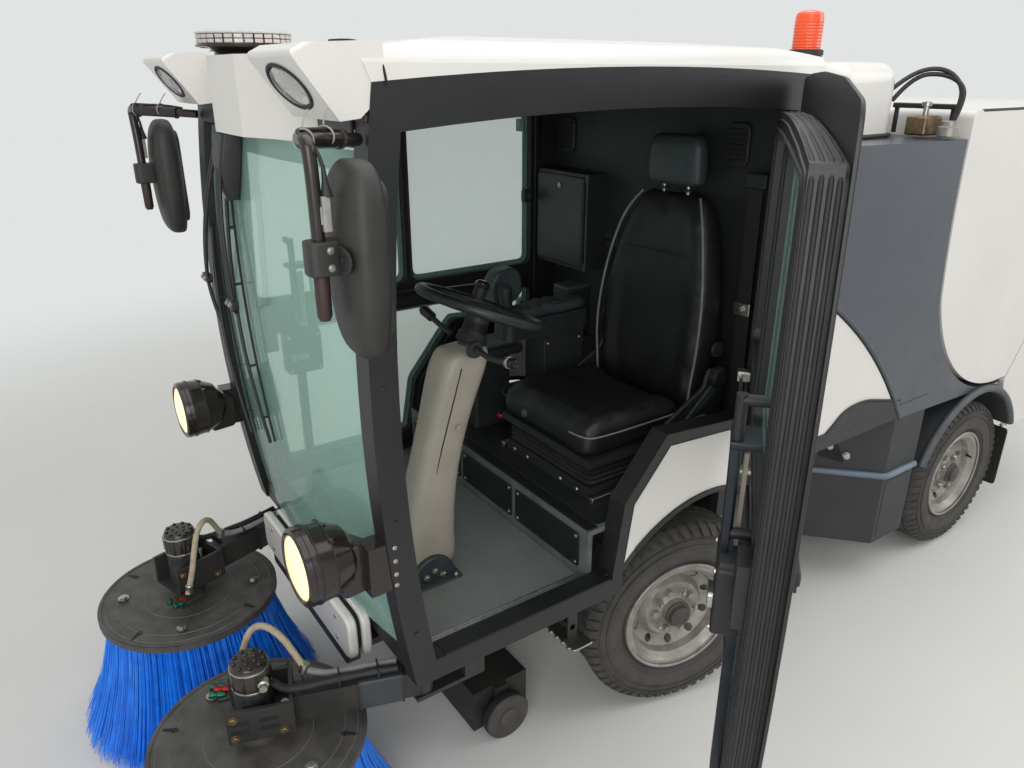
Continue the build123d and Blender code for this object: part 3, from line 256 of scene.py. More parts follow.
knuckle_blue = finish("blue_grey_casting", "#383d42", "#2f3438", 40, (0.42, 0.58), 3, 0.35)
wall_box_paint = finish("grey_box_enamel", "#2b3132", "#343a3b", 90, (0.4, 0.55), 3, 0.2)
belt_web = finish("polyester_webbing", "#1c1b1b", "#262423", 6, (0.6, 0.75), 1.4, 0.8)
sill_black = finish("sill_enamel", "#151618", "#1f2022", 70, (0.3, 0.48), 3, 0.15)
mat_black = finish("black_rubber_mat", "#131415", "#1d1e1f", 60, (0.5, 0.7), 3, 0.4)
headliner = finish("needlefelt_headliner", "#19191d", "#212125", 40, (0.8, 0.95), 1.2, 0.6)
brushed_alloy = finish("brushed_aluminium", "#b6b7b6", "#9c9d9c", 12, (0.25, 0.42), 1.5, 0.3, Metallic=0.9)
deck_mat = finish("scuffed_rubber_floor", "#656a69", "#7b7b76", 240, (0.42, 0.75), 4, 0.5)
arm_blue = finish("blue_grey_enamel", "#353b41", "#2b3136", 60, (0.3, 0.45), 4, 0.15)
disc_scratch = finish("bare_scratch", "#77706a", "#5f5a55", 20, (0.5, 0.7), 2, 0.2)
strip_blue = finish("blue_grey_strip", "#6f7c8b", "#5f6b79", 80, (0.35, 0.5), 3, 0.15)
fender_rubber = finish("moulded_mudguard", "#43464a", "#515458", 90, (0.4, 0.58), 3, 0.35)
# The louvres' gelcoat is a darker copy of the white gelcoat: painted shade on the louvres.
gelcoat_shadow = finish("louvre_gelcoat", "#bdbab5", "#aeaba6", 60, (0.3, 0.45), 5, 0.1)
pale_fitting = finish("cast_fitting", "#8e8a84", "#a29e97", 20, (0.35, 0.5), 3, 0.3, Metallic=0.5)
brass = finish("yellow_zinc", "#8d7a5e", "#6b5b45", 14, (0.3, 0.5), 2, 0.2, Metallic=0.85)
tail_red = finish("red_acrylic", "#8c1013", "#740c10", 30, (0.1, 0.2), 4, 0.1)
hub_grey = finish("hub_enamel", "#4a4744", "#383532", 30, (0.45, 0.65), 3, 0.3)
# A darker copy of the bristle blue for the brush core: painted shade deep in the brush.
bristle_shade_core = finish("bristle_core", "#0c66d0", "#0850a8", 20, (0.5, 0.7), 3, 0.4)
clear_cover = finish("clear_lamp_cover", "#c9ccca", "#b9bcbb", 60, (0.1, 0.2), 5, 0.05)
print("small finishes")

# %% [markdown]
# Each solid of the frame takes the finish of the real piece.

# %% Give the solids their materials
WHEEL_ENDS = ("front_left", "front_right", "rear_left", "rear_right")


def both(*names):
    return [name + "_" + side for name in names for side in ("left", "right")]


NODE_MATERIALS = {
    gelcoat: ["cab_roof", "front_panel", "intake_cover", "tail_panel", "hopper", "hopper_flap",
              "front_fenders", "side_covers"],
    slate: ["rear_housing"],
    powder: both("door") + ["cab_frame", "beacon_post"],
    gloss_black: ["headlamps", "warning_light"],
    steel_black: both("knuckle", "brush_arm", "arm_cylinder") + ["chassis_frame", "front_axle",
                                                                 "rear_axle", "suction_mouth"],
    moulded: ["side_boxes", "rear_fenders"],
    trim: ["cab_rear_wall", "seat_base", "driver_console", "steering_wheel"],
    column_paint: ["steering_column"],
    deck: ["cab_floor"],
    engine_grey: ["engine_block"],
    tinted: both("door_glass") + ["windscreen"],
    amber: ["beacon_lens"],
    mirror_shell: ["mirrors"],
    cast: both("brush_motor"),
    zinc: both("arm_cylinder_rod"),
    worn_disc: both("brush_disc"),
    bristle: both("brush_bristles"),
    vinyl: ["seat_cushion", "seat_backrest"],
    tyre: ["tyre_" + end for end in WHEEL_ENDS] + both("castor_wheel"),
    rim_paint: ["rim_" + end for end in WHEEL_ENDS],
}
for material, names in NODE_MATERIALS.items():
    for name in names:
        for place in NODES[name].material_slots:
            place.material = material
print("materials", len(NODE_MATERIALS))

# %% [markdown]
# Mesh helpers. Most pieces are skins over a row of rings, slabs cut from an outline,
# or pipes along a smooth curve.

# %% Mesh helpers
UP, DOWN, AHEAD, TO_LEFT = (0, 0, 1), (0, 0, -1), (0, -1, 0), (1, 0, 0)


def pair(sign, low, high):
    return sorted((sign * low, sign * high))


def turns(count):
    """Angles of a full turn in equal steps."""
    return [2 * math.pi * k / count for k in range(count)]


def subdivided(made):
    finer = made.modifiers.new("subdivision", "SUBSURF")
    finer.levels = finer.render_levels = 1
    return made


def piece(name, bm, material, body="chassis", smooth=35):
    """Object from a bmesh, with its edges kept sharp past an angle, riding on a body."""
    mesh = bpy.data.meshes.new(name)
    bmesh.ops.recalc_face_normals(bm, faces=bm.faces)
    bm.to_mesh(mesh)
    bm.free()
    mesh.materials.append(material)
    mesh.polygons.foreach_set("use_smooth", [True] * len(mesh.polygons))
    mesh.set_sharp_from_angle(angle=math.radians(smooth))
    made = bpy.data.objects.new(name, mesh)
    SCENE.collection.objects.link(made)
    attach(made, body)
    return made


def skin_into(bm, rings, caps=True):
    loops = [[bm.verts.new(p) for p in ring] for ring in rings]
    count = len(loops[0])
    for near, far in zip(loops, loops[1:]):
        for i in range(count):
            j = (i + 1) % count
            bm.faces.new((near[i], near[j], far[j], far[i]))
    if caps:
        bm.faces.new(loops[0][::-1])
        bm.faces.new(loops[-1])


def skin(name, rings, material, body="chassis", caps=True, smooth=35):
    bm = bmesh.new()
    skin_into(bm, rings, caps=caps)
    return piece(name, bm, material, body, smooth=smooth)


def sheet(name, rows, material, body, thick):
    """Thin panel over rows of points, given a thickness in millimetres."""
    bm = bmesh.new()
    loops = [[bm.verts.new(p) for p in row] for row in rows]
    for near, far in zip(loops, loops[1:]):
        for i in range(len(near) - 1):
            bm.faces.new((near[i], near[i + 1], far[i + 1], far[i]))
    made = piece(name, bm, material, body)
    solid = made.modifiers.new("solidify", "SOLIDIFY")
    solid.thickness = thick / 1000
    return made

# %% Turned forms and slabs


def turn_to(axis):
    return Vector(axis).normalized().to_track_quat("Z", "Y").to_matrix()


def lathe_rings(profile, centre, axis, segments, squash=1.0):
    """Rings of (radius, height) in millimetres, about an axis from a centre."""
    turn = turn_to(axis)
    rings = []
    for radius, height in profile:
        points = [(radius * math.cos(a), radius * squash * math.sin(a), height) for a in turns(segments)]
        rings.append([centre + turn @ Vector(point) / 1000 for point in points])
    return rings


def lathe(name, profile, centre, axis, material, body="chassis", segments=32, caps=True, smooth=35,
          squash=1.0):
    return skin(name, lathe_rings(profile, centre, axis, segments, squash), material, body, caps=caps,
                smooth=smooth)


def slab_into(bm, outline, axis, low, high):
    """Prism on an outline of points in millimetres across the X, Y or Z axis."""
    place = {
        "x": lambda p, d: at(d, p[0], p[1]),
        "y": lambda p, d: at(p[0], d, p[1]),
        "z": lambda p, d: at(p[0], p[1], d),
    }[axis]
    skin_into(bm, [[place(p, depth) for p in outline] for depth in (low, high)])


def slab(name, outline, axis, low, high, material, body="chassis", bevel=3):
    bm = bmesh.new()
    slab_into(bm, outline, axis, low, high)
    return bevelled(piece(name, bm, material, body), bevel)


def bevelled(made, width):
    if width:
        modifier = made.modifiers.new("bevel", "BEVEL")
        modifier.width = width / 1000
        modifier.segments = 2
        modifier.limit_method = "ANGLE"
        modifier.angle_limit = math.radians(35)
    return made


def rectangle(x0, x1, y0, y1):
    return [(x0, y0), (x1, y0), (x1, y1), (x0, y1)]


def round_corners(points, radius, steps=4):
    """Outline with each corner turned in a small curve."""
    result = []
    count = len(points)
    for i, corner in enumerate(points):
        corner = Vector(corner)
        before = Vector(points[i - 1]) - corner
        after = Vector(points[(i + 1) % count]) - corner
        cut = min(radius, before.length / 2.1, after.length / 2.1)
        start = corner + before.normalized() * cut
        end = corner + after.normalized() * cut
        for k in range(steps + 1):
            t = k / steps
            result.append(tuple(start * (1 - t) ** 2 + corner * 2 * t * (1 - t) + end * t * t))
    return result


def rounded(x0, x1, y0, y1, radius, steps=4):
    return round_corners(rectangle(x0, x1, y0, y1), radius, steps)

# %% Pipes and bolt heads


def pipe(name, points, radius, material, body="chassis", closed=False, straight=False):
    """Tube of a radius in millimetres along a smooth curve, kept as a mesh."""
    curve = bpy.data.curves.new(name, "CURVE")
    curve.dimensions = "3D"
    curve.bevel_depth = radius / 1000
    curve.bevel_resolution = 3
    curve.use_fill_caps = True
    spline = curve.splines.new("POLY" if straight else "NURBS")
    spline.points.add(len(points) - 1)
    for place, point in zip(spline.points, points):
        place.co = (*at(*point), 1)
    if not straight:
        spline.order_u = 3
        spline.use_endpoint_u = not closed
        spline.resolution_u = 6
    spline.use_cyclic_u = closed
    spline.use_smooth = True
    line = bpy.data.objects.new(name + "_line", curve)
    mesh = bpy.data.meshes.new_from_object(line)
    bpy.data.objects.remove(line)
    mesh.name = name
    mesh.materials.clear()
    mesh.materials.append(material)
    mesh.polygons.foreach_set("use_smooth", [True] * len(mesh.polygons))
    mesh.set_sharp_from_angle(angle=math.radians(50))
    made = bpy.data.objects.new(name, mesh)
    SCENE.collection.objects.link(made)
    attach(made, body)
    return made


def heads(name, places, axis, radius, height, material, body="chassis", sides=6):
    """Bolt heads with a domed top and a washer under each, in one mesh."""
    bm = bmesh.new()
    for place in places:
        centre = at(*place)
        skin_into(bm, lathe_rings([(radius * 1.3, 0), (radius * 1.3, height * 0.25)], centre, axis, 16))
        skin_into(bm, lathe_rings([(radius, height * 0.25), (radius, height * 0.8), (radius * 0.8, height)],
                                  centre, axis, sides))
    return piece(name, bm, material, body)

# %% [markdown]
# Shared outlines. The windscreen pillar is an arc, the door and its opening follow it,
# and an oval with soft corners is the plan of pads, shells and cushions.

# %% Shared outlines
ARC_Y, ARC_Z, ARC_R = 3124.06, 1278.15, 4154.62
SCREEN_AXIS = 2000
DOOR_OPEN = 39.5


def pillar(z, inset=0):
    return ARC_Y - math.sqrt((ARC_R - inset) ** 2 - (z - ARC_Z) ** 2)


def screen(x, z, off=0):
    """Y of the windscreen's outer face at a place, moved outwards by an offset."""
    radius = SCREEN_AXIS - pillar(z, -22) + off
    return SCREEN_AXIS - math.sqrt(radius ** 2 - x ** 2)


def oval(width, depth, count=28, power=2.8):
    points = []
    for a in turns(count):
        c, s = math.cos(a), math.sin(a)
        points.append((math.copysign(abs(c) ** (2 / power), c) * width / 2,
                       math.copysign(abs(s) ** (2 / power), s) * depth / 2))
    return points

# %% [markdown]
# Sweeping brushes. The real bristles are polypropylene strands set in bundles, splayed
# outwards and bent at their tips where they have scrubbed the road. Each strand here is
# a thin three-sided sliver of five rings. Three rows of bundles stand over a fluted core
# that stops light from passing between them. The core's darker blue is painted shade deep
# in the brush. A strand is drawn 3 to 5 mm wide at its root, so that it shows at this
# distance.

# %% Bristles
BRUSH = (340, -1285)
BUNDLES = 76
STRANDS = 13
BRISTLE_TOP = 376
BEND = 0.05
random.seed(7)


def strand(verts, faces, centre, angle, start, reach, low, width):
    first = len(verts)
    steps = 4
    for i in range(steps + 1):
        t = i / steps
        a = angle + BEND * t * t
        r = start + reach * (0.4 * t + 0.6 * t * t)
        z = BRISTLE_TOP - (BRISTLE_TOP - low) * t
        half = width * (1 - 0.45 * t) / r
        for turn, out in ((-half, 0.0), (half, 0.0), (0.0, width * 0.8)):
            verts.append(at(centre[0] + (r + out) * math.cos(a + turn),
                            centre[1] + (r + out) * math.sin(a + turn), z))
    for i in range(steps):
        for j in range(3):
            k = (j + 1) % 3
            a0 = first + i * 3
            faces.append((a0 + j, a0 + k, a0 + 3 + k, a0 + 3 + j))


def bristle_skirt(side, sign):
    centre = (sign * BRUSH[0], BRUSH[1])
    verts, faces = [], []
    for row, radius in enumerate((192, 214, 233)):
        for b in range(BUNDLES):
            middle = 2 * math.pi * (b + 0.33 * row) / BUNDLES
            for _ in range(STRANDS):
                angle = middle + random.gauss(0, 0.34) * 2 * math.pi / BUNDLES * 0.62
                strand(verts, faces, centre, angle, radius + random.uniform(-5, 5),
                       96 + 10 * row + random.uniform(-16, 10), random.uniform(6, 26),
                       random.uniform(1.5, 2.4))
    mesh = bpy.data.meshes.new("bristles_" + side)
    mesh.from_pydata(verts, [], faces)
    mesh.materials.append(bristle)
    made = bpy.data.objects.new("bristles_" + side, mesh)
    SCENE.collection.objects.link(made)
    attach(made, "brush_" + side)
    return made


def fluted_ring(centre, profile, count, depth):
    rings = []
    for radius, height in profile:
        ring = []
        for a in turns(count * 4):
            r = radius + depth * math.cos(a * count)
            ring.append(at(centre[0] + r * math.cos(a), centre[1] + r * math.sin(a), height))
        rings.append(ring)
    return rings


for side, sign in SIDES:
    skirt = bristle_skirt(side, sign)
    # The core takes the darker blue, which is painted shade.
    core = [(186, 375), (230, 375), (242, 290), (264, 200), (294, 110), (328, 30), (276, 24), (186, 375)]
    skin("bristle_core_" + side, fluted_ring((sign * BRUSH[0], BRUSH[1]), core, BUNDLES, 3), bristle_shade_core,
         "brush_" + side, caps=False)
    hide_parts("brush_bristles_" + side)
    print("bristles", side, len(skirt.data.polygons))

# %% [markdown]
# Brush gear. A hydraulic motor stands in a steel bracket over each disc, with a cast
# cap full of screw heads and two bright joint rings. Quick couplings in red and green
# end the hoses, and nylon ties hold them to the arm.

# %% Brush motors and couplings
ARM_PIVOT = (470, -900)
ARM_TURN = math.atan2(BRUSH[1] - ARM_PIVOT[1], BRUSH[0] - ARM_PIVOT[0])


def on_arm(sign, along, across, z):
    x = ARM_PIVOT[0] + along * math.cos(ARM_TURN) - across * math.sin(ARM_TURN)
    y = ARM_PIVOT[1] + along * math.sin(ARM_TURN) + across * math.cos(ARM_TURN)
    return sign * x, y, z


def arm_axis(sign, across=1):
    return (-sign * math.sin(ARM_TURN) * across, math.cos(ARM_TURN) * across, 0)


def coupling(name, place, axis, material, body):
    steps = [(6, 0), (6, 6), (9, 6), (9, 18), (7, 20), (7, 26), (10, 26), (10, 36), (8, 38)]
    return lathe(name, steps, at(*place), axis, material, body, segments=16)


def motor_trim(side, sign):
    arm = "brush_arm_" + side
    x, y = sign * BRUSH[0], BRUSH[1]
    for tag, z in (("low", 552), ("high", 604)):
        lathe("motor_ring_%s_%s" % (tag, side), [(45.4, -2), (46.6, -1), (46.6, 2), (45.4, 3)], at(x, y, z),
              UP, zinc, arm, segments=40)
    nubs = [(x + r * math.cos(a), y + r * math.sin(a), 617.5) for r, n in ((34, 9), (17, 5))
            for a in [turn + r for turn in turns(n)]]
    heads("motor_screws_" + side, nubs, UP, 5.5, 6, gloss_black, arm)
    lathe("motor_port_" + side, [(13, 0), (13, 18), (9, 20), (9, 30)], at(*on_arm(sign, 376, 36, 580)),
          arm_axis(sign), zinc, arm, segments=20)


def bracket_trim(side, sign):
    arm = "brush_arm_" + side
    plate = [on_arm(sign, along, 66, z) for along, z in ((342, 452), (452, 452), (452, 508))]
    heads("bracket_bolts_" + side, plate, arm_axis(sign), 9, 9, brass, arm)
    far = [on_arm(sign, along, -66, z) for along, z in ((342, 452), (452, 508))]
    heads("bracket_bolts_far_" + side, far, arm_axis(sign, -1), 9, 9, brass, arm)
    coil = [(9 + 2 * (k % 2), 4 * k) for k in range(15)]
    lathe("bracket_spring_" + side, coil, at(*on_arm(sign, 336, 30, 447)), UP, zinc, arm, segments=16)
    ends = (coupling_red, -104), (coupling_green, -88), (coupling_green, -116)
    for k, (material, across) in enumerate(ends):
        coupling("coupling_%d_%s" % (k, side), on_arm(sign, 474 + 10 * (k > 0), across, 454),
                 (math.cos(ARM_TURN) * sign, math.sin(ARM_TURN), 0.18), material, arm)


def arm_ties(side, sign):
    arm = "brush_arm_" + side
    outline = rounded(-29, 29, -12, 12, 10)
    for k, (along, z) in enumerate(((110, 518), (205, 518), (292, 526))):
        rings = [[at(*on_arm(sign, along + d, u, z + v)) for u, v in outline] for d in (-2, 2)]
        skin("hose_tie_%d_%s" % (k, side), rings, seal, arm)
    heads("arm_pivot_cap_" + side, [(sign * ARM_PIVOT[0], ARM_PIVOT[1], 520)], UP, 17, 8, zinc, sides=24)
    clamp = [on_arm(sign, a, 0, 512.5) for a in (70, 150)]
    heads("sleeve_screws_" + side, clamp, UP, 6, 5, zinc, arm)


def disc_trim(side, sign):
    x, y = sign * BRUSH[0], BRUSH[1]
    angles = [math.radians(90 * k + 20) for k in range(4)]
    bolts = [(x + sign * 190 * math.cos(a), y + 190 * math.sin(a), 403) for a in angles]
    heads("disc_bolts_" + side, bolts, UP, 12, 8, zinc, "brush_" + side)
    rim = [(256, 18), (259, 21.5), (250, 22), (249, 20)]
    lathe("disc_edge_" + side, rim, at(x, y, 375), UP, worn_disc, "brush_" + side, segments=96, caps=False)


for side, sign in SIDES:
    for dress in (motor_trim, bracket_trim, arm_ties, disc_trim):
        dress(side, sign)
print("brush gear")

# %% [markdown]
# Windscreen. A black ceramic band is fired onto the glass along its edges and hides the
# bonding. Two wipers hang from a pivot under the brow. Each has a pair of thin parallel
# arms, so that its blade stays upright as it sweeps. They are pipes and slabs laid a
# little way off the bent glass, whose surface is an arc both ways.

# %% Windscreen band
SCREEN_LOW, SCREEN_HIGH, SCREEN_HALF = 607, 1763, 512
BAND_SIDE, BAND_FOOT, BAND_TOP = 26, 34, 40
BEHIND_GLASS = -7.5


def screen_patch(bm, x0, x1, z0, z1, across, up, off):
    rows = []
    for j in range(up + 1):
        z = z0 + (z1 - z0) * j / up
        xs = [x0 + (x1 - x0) * i / across for i in range(across + 1)]
        rows.append([bm.verts.new(at(x, screen(x, z, off), z)) for x in xs])
    for near, far in zip(rows, rows[1:]):
        for i in range(across):
            bm.faces.new((near[i], near[i + 1], far[i + 1], far[i]))


bm = bmesh.new()
edge = SCREEN_HALF - BAND_SIDE
screen_patch(bm, -SCREEN_HALF, -edge, SCREEN_LOW, SCREEN_HIGH, 2, 24, BEHIND_GLASS)
screen_patch(bm, edge, SCREEN_HALF, SCREEN_LOW, SCREEN_HIGH, 2, 24, BEHIND_GLASS)
screen_patch(bm, -edge, edge, SCREEN_LOW, SCREEN_LOW + BAND_FOOT, 16, 1, BEHIND_GLASS)
screen_patch(bm, -edge, edge, SCREEN_HIGH - BAND_TOP, SCREEN_HIGH, 16, 1, BEHIND_GLASS)
band = piece("screen_band", bm, frit)
solid = band.modifiers.new("solidify", "SOLIDIFY")
solid.thickness = 0.001

# %% Wipers


def off_glass(x, z, off):
    return x, screen(x, z, off), z


def wiper(tag, top, elbow, blade_top, blade_low):
    for k, shift in enumerate((-13, 13)):
        start = off_glass(top[0] + shift, top[1], 44)
        middle = off_glass((top[0] + elbow[0]) / 2 + shift, (top[1] + elbow[1]) / 2, 66)
        end = off_glass(elbow[0] + shift, elbow[1] - shift * 0.5, 46)
        pipe("wiper_arm_%d_%s" % (k, tag), [start, middle, end], 4.5, powder)
    x, z = elbow
    y = screen(x, z, 46)
    slab("wiper_bracket_" + tag, rounded(x - 26, x + 26, z - 14, z + 12, 8), "y", y - 9, y + 9, powder,
         bevel=3)
    heads("wiper_bolts_" + tag, [(x - 13, y - 9, z), (x + 13, y - 9, z)], AHEAD, 6, 6, zinc)
    spine = [off_glass(blade_top[0] + (blade_low[0] - blade_top[0]) * t,
                       blade_top[1] + (blade_low[1] - blade_top[1]) * t, 17 + 12 * math.sin(math.pi * t))
             for t in [k / 9 for k in range(10)]]
    pipe("wiper_blade_" + tag, spine, 5, powder)
    rubber = [off_glass(p[0], p[2], 4.5) for p in spine]
    pipe("wiper_rubber_" + tag, rubber, 3.2, seal)
    for k in (1, 3, 6, 8):
        pipe("wiper_claw_%d_%s" % (k, tag), [spine[k], rubber[k]], 3.4, powder, straight=True)
    middle = spine[4]
    pipe("wiper_link_" + tag, [(x, y, z), ((x + middle[0]) / 2, y - 4, (z + middle[2]) / 2), middle], 5.5,
         powder)


wiper("far", (-150, 1748), (-478, 1338), (-492, 1480), (-330, 880))
wiper("near", (-128, 1750), (-96, 1352), (-196, 1600), (-60, 960))

# %% Wiper motor cover and header plates
motor = []
for z, half, proud in ((1764, 62, 46), (1700, 46, 52), (1640, 26, 44), (1606, 12, 30)):
    centre = -138 + (1764 - z) * 0.12
    base = screen(centre, z, 2)
    outline = round_corners([(-half, 0), (half, 0), (half * 0.8, -proud), (-half * 0.8, -proud)], 9, 3)
    motor.append([at(centre + u, base + v, z) for u, v in outline])
skin("wiper_motor_cover", motor, powder)
for side, sign in SIDES:
    slab("header_plate_" + side, rounded(*pair(sign, 352, 512), 1772, 1824, 6), "y", -1003, -996, powder,
         bevel=2)
print("windscreen dressing")

# %% [markdown]
# Mirrors. The shell is grained ABS on a bent tube with a rubber grip. A wide band
# clamps it. The heater's cable runs down the tube to a grey plug, held by nylon ties.
# The glass faces the driver, inside the shell's rim.

# %% Mirror grips and plugs
MIRROR = (690, -1085)


def mirror_grip(side, sign):
    x = sign * MIRROR[0]
    tube = [(sign * 648, -1141, 1799), (sign * 628, -1124, 1799), (sign * 600, -1085, 1796),
            (sign * 578, -1054, 1794)]
    pipe("mirror_grip_" + side, tube, 14.5, gloss_black)
    for k, (gx, gy) in enumerate(((650, -1142), (580, -1056))):
        collar = [(13, -4), (16.5, -3), (16.5, 3), (13, 4)]
        lathe("grip_collar_%d_%s" % (k, side), collar, at(sign * gx, gy, 1798 - 4 * k),
              (sign * -70, 87, -4), rubber_black, segments=20)
    outline = rounded(x - 23, x + 23, -1174, -1112, 16)
    slab("mirror_clamp_" + side, outline, "z", 1594, 1650, mirror_shell, bevel=3)
    heads("mirror_clamp_screws_" + side, [(x + 23 * sign, -1140, 1608), (x + 23 * sign, -1140, 1636)],
          (sign, 0, 0), 5, 4, zinc)
    lathe("mirror_tip_" + side, [(12.6, 0), (13.4, 6), (12.6, 70), (9, 78)], at(x - sign * 2, -1150, 1594),
          DOWN, brown_rubber, segments=20)


def mirror_plug(side, sign):
    x = sign * MIRROR[0]
    lathe("plug_boot_" + side, [(3, 0), (5, 26), (9, 44), (10, 50)], at(x + sign * 8, -1135, 1768),
          (0, 0.05, -1), rubber_black, segments=16)
    outline = rounded(*sorted((x + sign * 0.5, x + sign * 17)), -1144, -1130, 3)
    slab("plug_body_" + side, outline, "z", 1664, 1720, plug_grey, bevel=1.5)
    slab("plug_latch_" + side, rectangle(*sorted((x + sign * 4, x + sign * 13)), -1147, -1143), "z", 1676,
         1704, plug_grey, bevel=1)
    cable = [(x + sign * 8, -1136, 1766), (x + sign * 6, -1139, 1790), (x - sign * 12, -1158, 1808),
             (x - sign * 40, -1156, 1818), (x - sign * 62, -1120, 1815), (sign * 598, -1078, 1814),
             (sign * 572, -1040, 1806)]
    pipe("mirror_cable_" + side, cable, 3.2, hose_black)


def mirror_ties(side, sign):
    for k, (tx, ty) in enumerate(((655, -1146), (604, -1091))):
        ring = [(sign * tx + 17 * math.cos(a) * 0.64 * sign, ty + 17 * math.cos(a) * 0.77,
                 1799 + 17 * math.sin(a) + 3) for a in turns(12)]
        pipe("mirror_tie_%d_%s" % (k, side), ring, 1.6, plug_grey, closed=True)
        tail = [(sign * tx, ty, 1820), (sign * (tx - 10), ty + 6, 1834), (sign * (tx - 12), ty + 16, 1846)]
        pipe("mirror_tie_tail_%d_%s" % (k, side), tail, 1.4, plug_grey)

# %% Mirror faces


def mirror_face(side, sign):
    x = sign * MIRROR[0]
    face = rounded(x - 56, x + 56, 1476, 1742, 36, 8)
    slab("mirror_rim_" + side, face, "y", -1064, -1048, rubber_black, bevel=3)
    glass_face = rounded(x - 49, x + 49, 1484, 1734, 31, 8)
    slab("mirror_glass_" + side, glass_face, "y", -1049, -1046, reflector, bevel=0.8)


def mirror_recess(side, sign):
    eye = at(sign * MIRROR[0] + sign * 38, -1125.6, 1622)
    dish = [(24, 0), (33, -0.5), (34, 2.2), (31, 3.6), (27, 2.2), (25, 0.4)]
    lathe("mirror_recess_" + side, dish, eye, AHEAD, mirror_shell, segments=40, caps=False, squash=0.66)
    lathe("mirror_recess_well_" + side, [(27, 0), (20, 1.2), (0.5, 1.8)], eye, AHEAD, rubber_black,
          segments=32, squash=0.66)
    lathe("mirror_recess_screw_" + side, [(7, 1), (7, 3), (4, 4.5)], eye, AHEAD, seal, segments=12)


for side, sign in SIDES:
    for dress in (mirror_grip, mirror_plug, mirror_ties, mirror_face, mirror_recess):
        dress(side, sign)
print("mirrors")

# %% [markdown]
# Lamps. Each headlamp has a bright reflector behind a domed lens, in a bezel, and a
# seam runs round its shell. They are lit, so the lens glows a warm white. The roof
# pods hold oval lamps sunk in their slanted faces.

# %% Headlamps
LAMP = (500, -1190, 930)


def headlamp(side, sign):
    x, y, z = sign * LAMP[0], LAMP[1], LAMP[2]
    front = at(x, y, z)
    bowl = [(72, -8), (66, -9), (40, -9.6), (1, -9.8)]
    lathe("lamp_bowl_" + side, bowl, front, AHEAD, reflector, segments=48, caps=False)
    lens = [(72.5, -6), (72.5, -1), (69, 4), (52, 9), (28, 12), (1, 13)]
    lathe("lamp_lens_" + side, lens, front, AHEAD, lamp_warm, segments=56)
    bezel = [(71, -2), (73, 5), (79, 7), (86, 3), (88, -8), (86, -10), (84, -2)]
    lathe("lamp_bezel_" + side, bezel, front, AHEAD, gloss_black, segments=56, caps=False)
    for k, (back, radius) in enumerate(((24, 89.2), (58, 85.6))):
        seam = [(radius - 2, -2), (radius, -1), (radius, 1), (radius - 2.4, 2)]
        lathe("lamp_seam_%d_%s" % (k, side), seam, at(x, y + back, z), AHEAD, rubber_black, segments=56,
              caps=False)


def headlamp_mount(side, sign):
    x, y, z = sign * LAMP[0], LAMP[1], LAMP[2]
    angles = [math.radians(90 + turn) for turn in (-34, 0, 34)]
    ribs = [(x + 80 * math.cos(a), y + 60, z + 80 * math.sin(a)) for a in angles]
    heads("lamp_bosses_" + side, ribs, (0, 0.3, 1), 7, 7, gloss_black, sides=12)
    plate = [(sign * 571.2, -1000, high) for high in (948, 914, 880, 852)]
    heads("lamp_plate_bolts_" + side, plate, (sign, 0, 0), 6, 5, zinc)
    arm = [(sign * 510, -1105, 880), (sign * 520, -1070, 872), (sign * 545, -1040, 872)]
    pipe("lamp_cable_" + side, arm, 5, hose_black)
    knuckle = round_corners([(-1112, 840), (-1040, 846), (-1034, 940), (-1070, 966), (-1108, 950)], 12)
    slab("lamp_knuckle_" + side, knuckle, "x", *pair(sign, 484, 546), gloss_black, bevel=5)

# %% Roof lamps
POD_FACE = (455, -1088, 1877)
POD_OUT = (0, -0.809, -0.588)


def pod_prisms(side, front):
    """Seven upright prisms behind the lens, shorter towards its ends."""
    bm = bmesh.new()
    turn = turn_to(POD_OUT)
    for k in range(-3, 4):
        tall = 28 - abs(k) * 4
        corners = rectangle(k * 15 - 5.5, k * 15 + 5.5, -tall, tall)
        skin_into(bm, [[front + turn @ Vector((u, v, w)) / 1000 for u, v in corners] for w in (-5, 1.4)])
    bevelled(piece("pod_prisms_" + side, bm, clear), 2)


def roof_lamp(side, sign):
    front = at(sign * POD_FACE[0], POD_FACE[1], POD_FACE[2])
    ring = [(74.5, -2), (80, 1.5), (77, 3.5), (70, 3), (66, -3), (72, -7)]
    lathe("pod_ring_" + side, ring, front, POD_OUT, seal, segments=56, caps=False, squash=0.6)
    lathe("pod_bowl_" + side, [(68, -3), (50, -7), (24, -9), (1, -9.5)], front, POD_OUT, reflector,
          segments=48, caps=False, squash=0.58)
    pod_prisms(side, front)
    lathe("pod_lens_" + side, [(69, -1), (66, 2.4), (46, 4.6), (20, 5.6), (1, 6)], front, POD_OUT, clear,
          segments=56, caps=False, squash=0.58)
    seam = [(sign * 345, -962, 1957), (sign * 420, -966, 1957), (sign * 500, -968, 1951),
            (sign * 560, -966, 1936), (sign * 576, -962, 1912), (sign * 576.5, -958, 1880)]
    pipe("pod_seam_" + side, seam, 2.4, joint_and_shade_black)
    port = rounded(*pair(sign, 520, 566), -1000, -968, 6)
    slab("pod_port_" + side, port, "z", 1818, 1832, brown_rubber, bevel=2)


for side, sign in SIDES:
    headlamp(side, sign)
    headlamp_mount(side, sign)
for side, sign in SIDES:
    roof_lamp(side, sign)

# %% [markdown]
# Flat warning lamp. A ring of square LED cells stands behind a clear rim on a dark
# base. The beacon behind is a ribbed amber dome on a tube.

# %% Warning lamp and beacon
DISC = (-105, -985, 1957)
BEACON = (430, 395)
CELLS = 30


def around(centre, radius, height, angles):
    return [(centre[0] + radius * math.cos(a), centre[1] + radius * math.sin(a), height) for a in angles]


